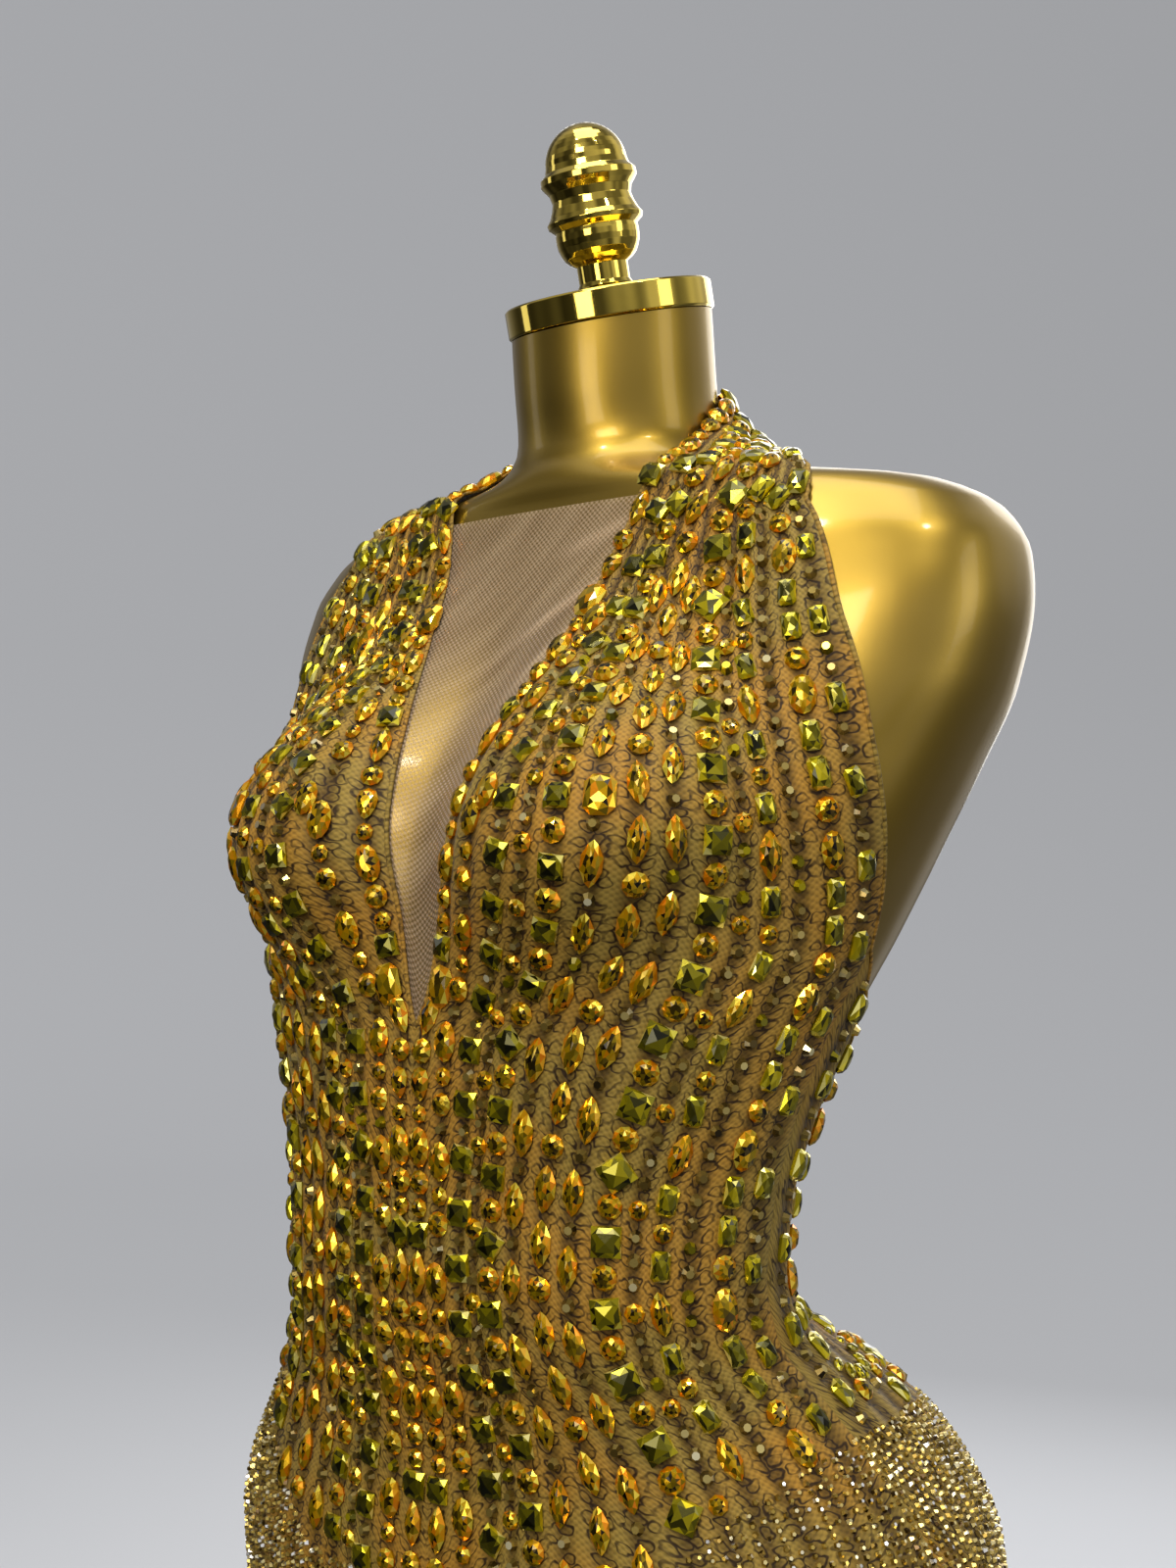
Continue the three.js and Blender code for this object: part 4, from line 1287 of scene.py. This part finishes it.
# %% One mesh for each shape and colour
def merged(kind, stones):
    """Points, triangles and painted facet reflections of many stones of one kind as one mesh."""
    points, triangles, facets, painted_facet_light = STONES[kind]
    place, x_axis, y_axis, out = (np.array([stone[i] for stone in stones])[:, None] for i in range(4))
    size = np.array([stone[4] for stone in stones])[:, None, None]
    spread = points[None] * size
    everywhere = place + spread[..., :1] * x_axis + spread[..., 1:2] * y_axis + spread[..., 2:] * out
    first = (np.arange(len(stones)) * len(points))[:, None, None]
    # The painted reflection of each facet varies at random from stone to stone, so some stones look lit and
    # some dark.
    painted_light_spread = 0.3 if kind == "seed" else 0.2
    depth = painted_facet_light[None] + rng.normal(0, painted_light_spread, (len(stones), len(painted_facet_light)))
    corners = (triangles[None] + first).reshape(-1, 3)
    return everywhere.reshape(-1, 3), corners, np.clip(depth, 0, 1)[:, facets].ravel()


def stone_piece(name, kind, colour, stones):
    points, corners, depth = merged(kind, stones)
    # Each face's depth value is its painted reflection of the foil, from dark to a blaze.
    new_piece(name, points, corners, glass[colour], values={"depth": depth}, smooth=False)
    print(name, "stones:", len(stones))


for (kind, colour), stones in placed.items():
    stone_piece(f"{kind}_stones_{colour}", kind, colour, stones)
for name, seeds in seed_places.items():
    stones = []
    for place, down, out in seeds:
        # No two lie quite alike, so some of them flash.
        tilted = out + rng.normal(0, 0.13, 3)
        tilted /= np.linalg.norm(tilted)
        stones.append((place, np.cross(tilted, down), down, tilted, 0.88 + 0.2 * rng.random()))
    stone_piece(f"{name}_tiny_stones", "seed", "champagne", stones)

# %% [markdown]
# ## Hems and edges
#
# A raw edge of net would curl, so the maker turns it under and sews it down. That leaves a soft
# rounded edge about 2.5 mm wide. A small round section is swept along each open edge of a panel.


# %% Turned edges
def rolled_edge(name, line, out, width=2.4, thick=1.5, sides=6):
    ahead = np.gradient(line, axis=0)
    ahead /= np.maximum(np.linalg.norm(ahead, axis=1, keepdims=True), 1e-9)
    across = np.cross(ahead, out)
    turn = np.linspace(0, 2 * math.pi, sides, endpoint=False)
    ring = across[:, None] * (np.cos(turn) * width / 2)[None, :, None]
    ring = ring + out[:, None] * (np.sin(turn) * thick / 2)[None, :, None]
    points = line[:, None] + ring
    uv = np.stack(np.broadcast_arrays(turn[None, :] * 0.4 - 1.2, run_along(line)[:, None]), -1)
    faces = grid_faces(len(line), sides, closed=True)
    new_piece(name, points.reshape(-1, 3), faces, power_mesh, uv=uv.reshape(-1, 2))


edge_length = 0.0
for name, net in nets.items():
    surface, normals = net["surface"], net["normals"]
    below_arm = int(np.argmax(surface[:, -1, 2] < SIDE_TOP + 1))
    below_plunge = int(np.argmax(surface[:, 0, 2] < PLUNGE_END + 1))
    edges = {"hem": (surface[-1], normals[-1])}
    if name.startswith("front"):
        edges["neck_edge"] = (surface[: below_plunge + 1, 0], normals[: below_plunge + 1, 0])
        edges["arm_edge"] = (surface[: below_arm + 1, -1], normals[: below_arm + 1, -1])
        edges["nape_end"] = (surface[0], normals[0])
    else:
        edges["back_edge"] = (surface[0], normals[0])
    for edge, (line, out) in edges.items():
        rolled_edge(f"{name}_{edge}", line, out)
        edge_length += float(run_along(line)[-1])
print("turned edges, metres:", round(edge_length / 1000, 2))

# %% [markdown]
# ## Clasp at the nape
#
# The two strap ends meet behind the neck in a flat metal clasp: two stamped plates, joined by
# three hooks that catch on bars.


# %% Hook clasp
def rounded_plate(width, height, thick, corner=1.6, steps=5):
    rim = []
    for quarter, (sx, sy) in enumerate([(1, 1), (-1, 1), (-1, -1), (1, -1)]):
        for a in np.linspace(0, math.pi / 2, steps) + quarter * math.pi / 2:
            x = sx * (width / 2 - corner) + corner * math.cos(a)
            y = sy * (height / 2 - corner) + corner * math.sin(a)
            rim.append((x, y))
    rim = np.array(rim)
    n = len(rim)
    inner = rim * 0.86
    levels = [(inner, -thick / 2), (rim, -thick / 2 + 0.2), (rim, thick / 2 - 0.2), (inner, thick / 2)]
    points = np.concatenate([np.column_stack([ring, np.full(n, z)]) for ring, z in levels])
    points = np.concatenate([points, [[0, 0, -thick / 2], [0, 0, thick / 2]]])
    faces = grid_faces(4, n, closed=True)
    triangles = [(q[0], q[1], q[2]) for q in faces] + [(q[0], q[2], q[3]) for q in faces]
    triangles += [(4 * n, j, (j + 1) % n) for j in range(n)]
    triangles += [(4 * n + 1, 3 * n + (j + 1) % n, 3 * n + j) for j in range(n)]
    return points, np.array(triangles)


CLASP_PARTS = [
    # middle x, y, z; width, height: two plates, then three hooks across them
    (-4.2, 0, 0, 7.4, 26),
    (4.2, 0, 0, 7.4, 26),
    (0, -9, 0.9, 9.0, 2.2),
    (0, 0, 0.9, 9.0, 2.2),
    (0, 9, 0.9, 9.0, 2.2),
]
PLATE_THICK = 1.4
CLASP_Y, CLASP_Z = 87.9, 1443.6
clasp_points, clasp_faces, count = [], [], 0
for x, y, z, width, height in CLASP_PARTS:
    points, triangles = rounded_plate(width, height, PLATE_THICK, min(1.6, height / 2 - 0.1))
    clasp_points.append(points + (x, y, z))
    clasp_faces.append(triangles + count)
    count += len(points)
clasp_points = np.concatenate(clasp_points)
clasp_faces = np.concatenate(clasp_faces)[:, ::-1]
# The clasp leans with the neck, which comes 9 mm back over the strap's 36 mm of height.
lean = math.atan2(9, 36)
across, up, outward = clasp_points.T
back = CLASP_Y + outward * math.cos(lean) - up * math.sin(lean)
height = CLASP_Z + up * math.cos(lean) + outward * math.sin(lean)
upright = np.stack([across, back, height], -1)
clasp = new_piece("hook_clasp", upright, clasp_faces, bright_plating, smooth=False)
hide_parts("nape_clasp")
print("clasp faces:", len(clasp.data.polygons))

# %% [markdown]
# ## Light, floor and camera
#
# A form in a showroom stands under wide soft lights. Broad panels in front and above give the
# paint its long highlights, and one from the side picks out the facets. Two small ceiling lamps
# add the tight white spots. The camera stands at the height of the chest, to the form's left.

# %% Floor
# The floor turns up far away into a plain wall all round, so no line shows where it ends. It is
# there for the eye alone: it throws no light back, because it glows a little by itself instead.
floor_material, tree, shader = new_material(
    "pale_floor",
    Base_Color=linear("#b4b5b8"),
    Roughness=0.8,
    Emission_Color=linear("#dcdee2"),
    Emission_Strength=0.33,
)
FLOOR_RADIUS = 7.0
BEND = 2.5
WALL_TOP = 9.0
FLOOR_STEPS = 96
# Half a millimetre under the base plate, so that the two don't flicker through each other.
FLOOR_LEVEL = -0.0005
sweep = [(0.0, 0.0), (FLOOR_RADIUS, 0.0)]
for a in np.radians(np.arange(6, 91, 6)):
    sweep.append((FLOOR_RADIUS + BEND * math.sin(a), BEND - BEND * math.cos(a)))
sweep.append((FLOOR_RADIUS + BEND, WALL_TOP))
turn = np.linspace(0, 2 * math.pi, FLOOR_STEPS, endpoint=False)
floor_points = [(r * math.cos(a), r * math.sin(a), z + FLOOR_LEVEL) for r, z in sweep for a in turn]
floor_mesh = bpy.data.meshes.new("floor")
floor_mesh.from_pydata(floor_points, [], grid_faces(len(sweep), FLOOR_STEPS, closed=True).tolist())
floor_mesh.polygons.foreach_set("use_smooth", [True] * len(floor_mesh.polygons))
floor_mesh.materials.append(floor_material)
floor = bpy.data.objects.new("floor", floor_mesh)
floor.visible_diffuse = False
floor.visible_glossy = False
floor.visible_shadow = False
bpy.context.scene.collection.objects.link(floor)
print("floor and wall, metres across:", 2 * (FLOOR_RADIUS + BEND))


# %% Lights
def soft_light(name, place, target, size, watts, colour):
    data = bpy.data.lights.new(name, "AREA")
    data.shape = "RECTANGLE"
    data.size, data.size_y = size
    data.energy = watts
    data.color = linear(colour)[:3]
    light = bpy.data.objects.new(name, data)
    light.location = place
    light.rotation_euler = (Vector(target) - Vector(place)).to_track_quat("-Z", "Y").to_euler()
    bpy.context.scene.collection.objects.link(light)


soft_light("key", (0.9, -2.5, 2.9), (0, 0, 1.2), (1.1, 0.8), 38, "#fff6e6")
soft_light("side", (2.7, 0.5, 2.2), (0, 0, 1.15), (0.8, 1.6), 9, "#ffffff")
soft_light("above", (0.2, -0.3, 3.4), (0, 0, 1.2), (1.4, 1.4), 25, "#ffffff")
# The ceiling lamps: one for the spot on the shoulder, one for the spot on the chest.
soft_light("lamp_left", (1.25, -0.45, 3.0), (0.19, 0, 1.36), (0.12, 0.12), 7, "#fffaf0")
soft_light("lamp_front", (0.05, -1.05, 3.0), (0, -0.1, 1.27), (0.12, 0.12), 6, "#fffaf0")
soft_light("far_side", (-2.4, -1.0, 2.0), (0, 0, 1.2), (0.5, 1.4), 3, "#f2f5ff")
soft_light("low_front", (0.5, -2.6, 1.4), (0, 0, 0.5), (0.9, 0.9), 14, "#fff8ec")
soft_light("behind", (-0.9, 2.8, 2.2), (0, 0, 1.0), (2.6, 2.2), 44, "#ffffff")

# %% The room around
# It is brightest overhead and on the form's left and behind it, and dim on its right and below.
BRIGHT_SIDE = (0.6, 0.35, 0.62)
world = bpy.data.worlds.new("studio")
world.use_nodes = True
tree = world.node_tree
direction = add_node(tree, "ShaderNodeTexCoord").outputs["Generated"]
towards = add_node(
    tree,
    "ShaderNodeVectorMath",
    {"operation": "DOT_PRODUCT"},
    {0: direction, 1: BRIGHT_SIDE},
)
room = add_node(
    tree,
    "ShaderNodeMapRange",
    inputs={
        "Value": towards.outputs["Value"],
        "From Min": -0.7,
        "From Max": 1.0,
        "To Min": 0.05,
        "To Max": 0.6,
    },
)
# Shapes of the room, which the polished metal and the facets mirror.
shapes = add_node(tree, "ShaderNodeTexNoise", inputs={"Vector": direction, "Scale": 1.8, "Detail": 1.0})
patchy = add_node(
    tree,
    "ShaderNodeMapRange",
    inputs={
        "Value": shapes.outputs["Fac"],
        "From Min": 0.38,
        "From Max": 0.62,
        "To Min": 0.35,
        "To Max": 1.6,
    },
)
glow = add_node(
    tree,
    "ShaderNodeMath",
    {"operation": "MULTIPLY"},
    {0: room.outputs["Result"], 1: patchy.outputs["Result"]},
)
tree.links.new(glow.outputs[0], tree.nodes["Background"].inputs["Strength"])
tree.nodes["Background"].inputs["Color"].default_value = linear("#f2f2f4")
bpy.context.scene.world = world
# Colours are shown as they are mixed. The softer default would wash out the amber glass.
bpy.context.scene.view_settings.view_transform = "Standard"
print("nodes of the room:", len(tree.nodes))

# %% Camera
# Where the photo was taken from: round to the form's left, looking up a little.
VIEW_AZIMUTH = math.radians(39)
VIEW_RISE = math.radians(3)
VIEW_AWAY = 0.905
EYE_LEVEL = 1.212
camera_data = bpy.data.cameras.new("camera")
camera_data.lens = 42.75
camera_data.sensor_width = 36
camera_data.clip_start = 0.05
camera = bpy.data.objects.new("camera", camera_data)
camera.location = (VIEW_AWAY * math.sin(VIEW_AZIMUTH), -VIEW_AWAY * math.cos(VIEW_AZIMUTH), EYE_LEVEL)
ahead = Vector(
    (
        -math.sin(VIEW_AZIMUTH) * math.cos(VIEW_RISE),
        math.cos(VIEW_AZIMUTH) * math.cos(VIEW_RISE),
        math.sin(VIEW_RISE),
    )
)
camera.rotation_euler = ahead.to_track_quat("-Z", "Y").to_euler()
bpy.context.scene.collection.objects.link(camera)
bpy.context.scene.camera = camera
print("camera, metres:", [round(c, 3) for c in camera.location])
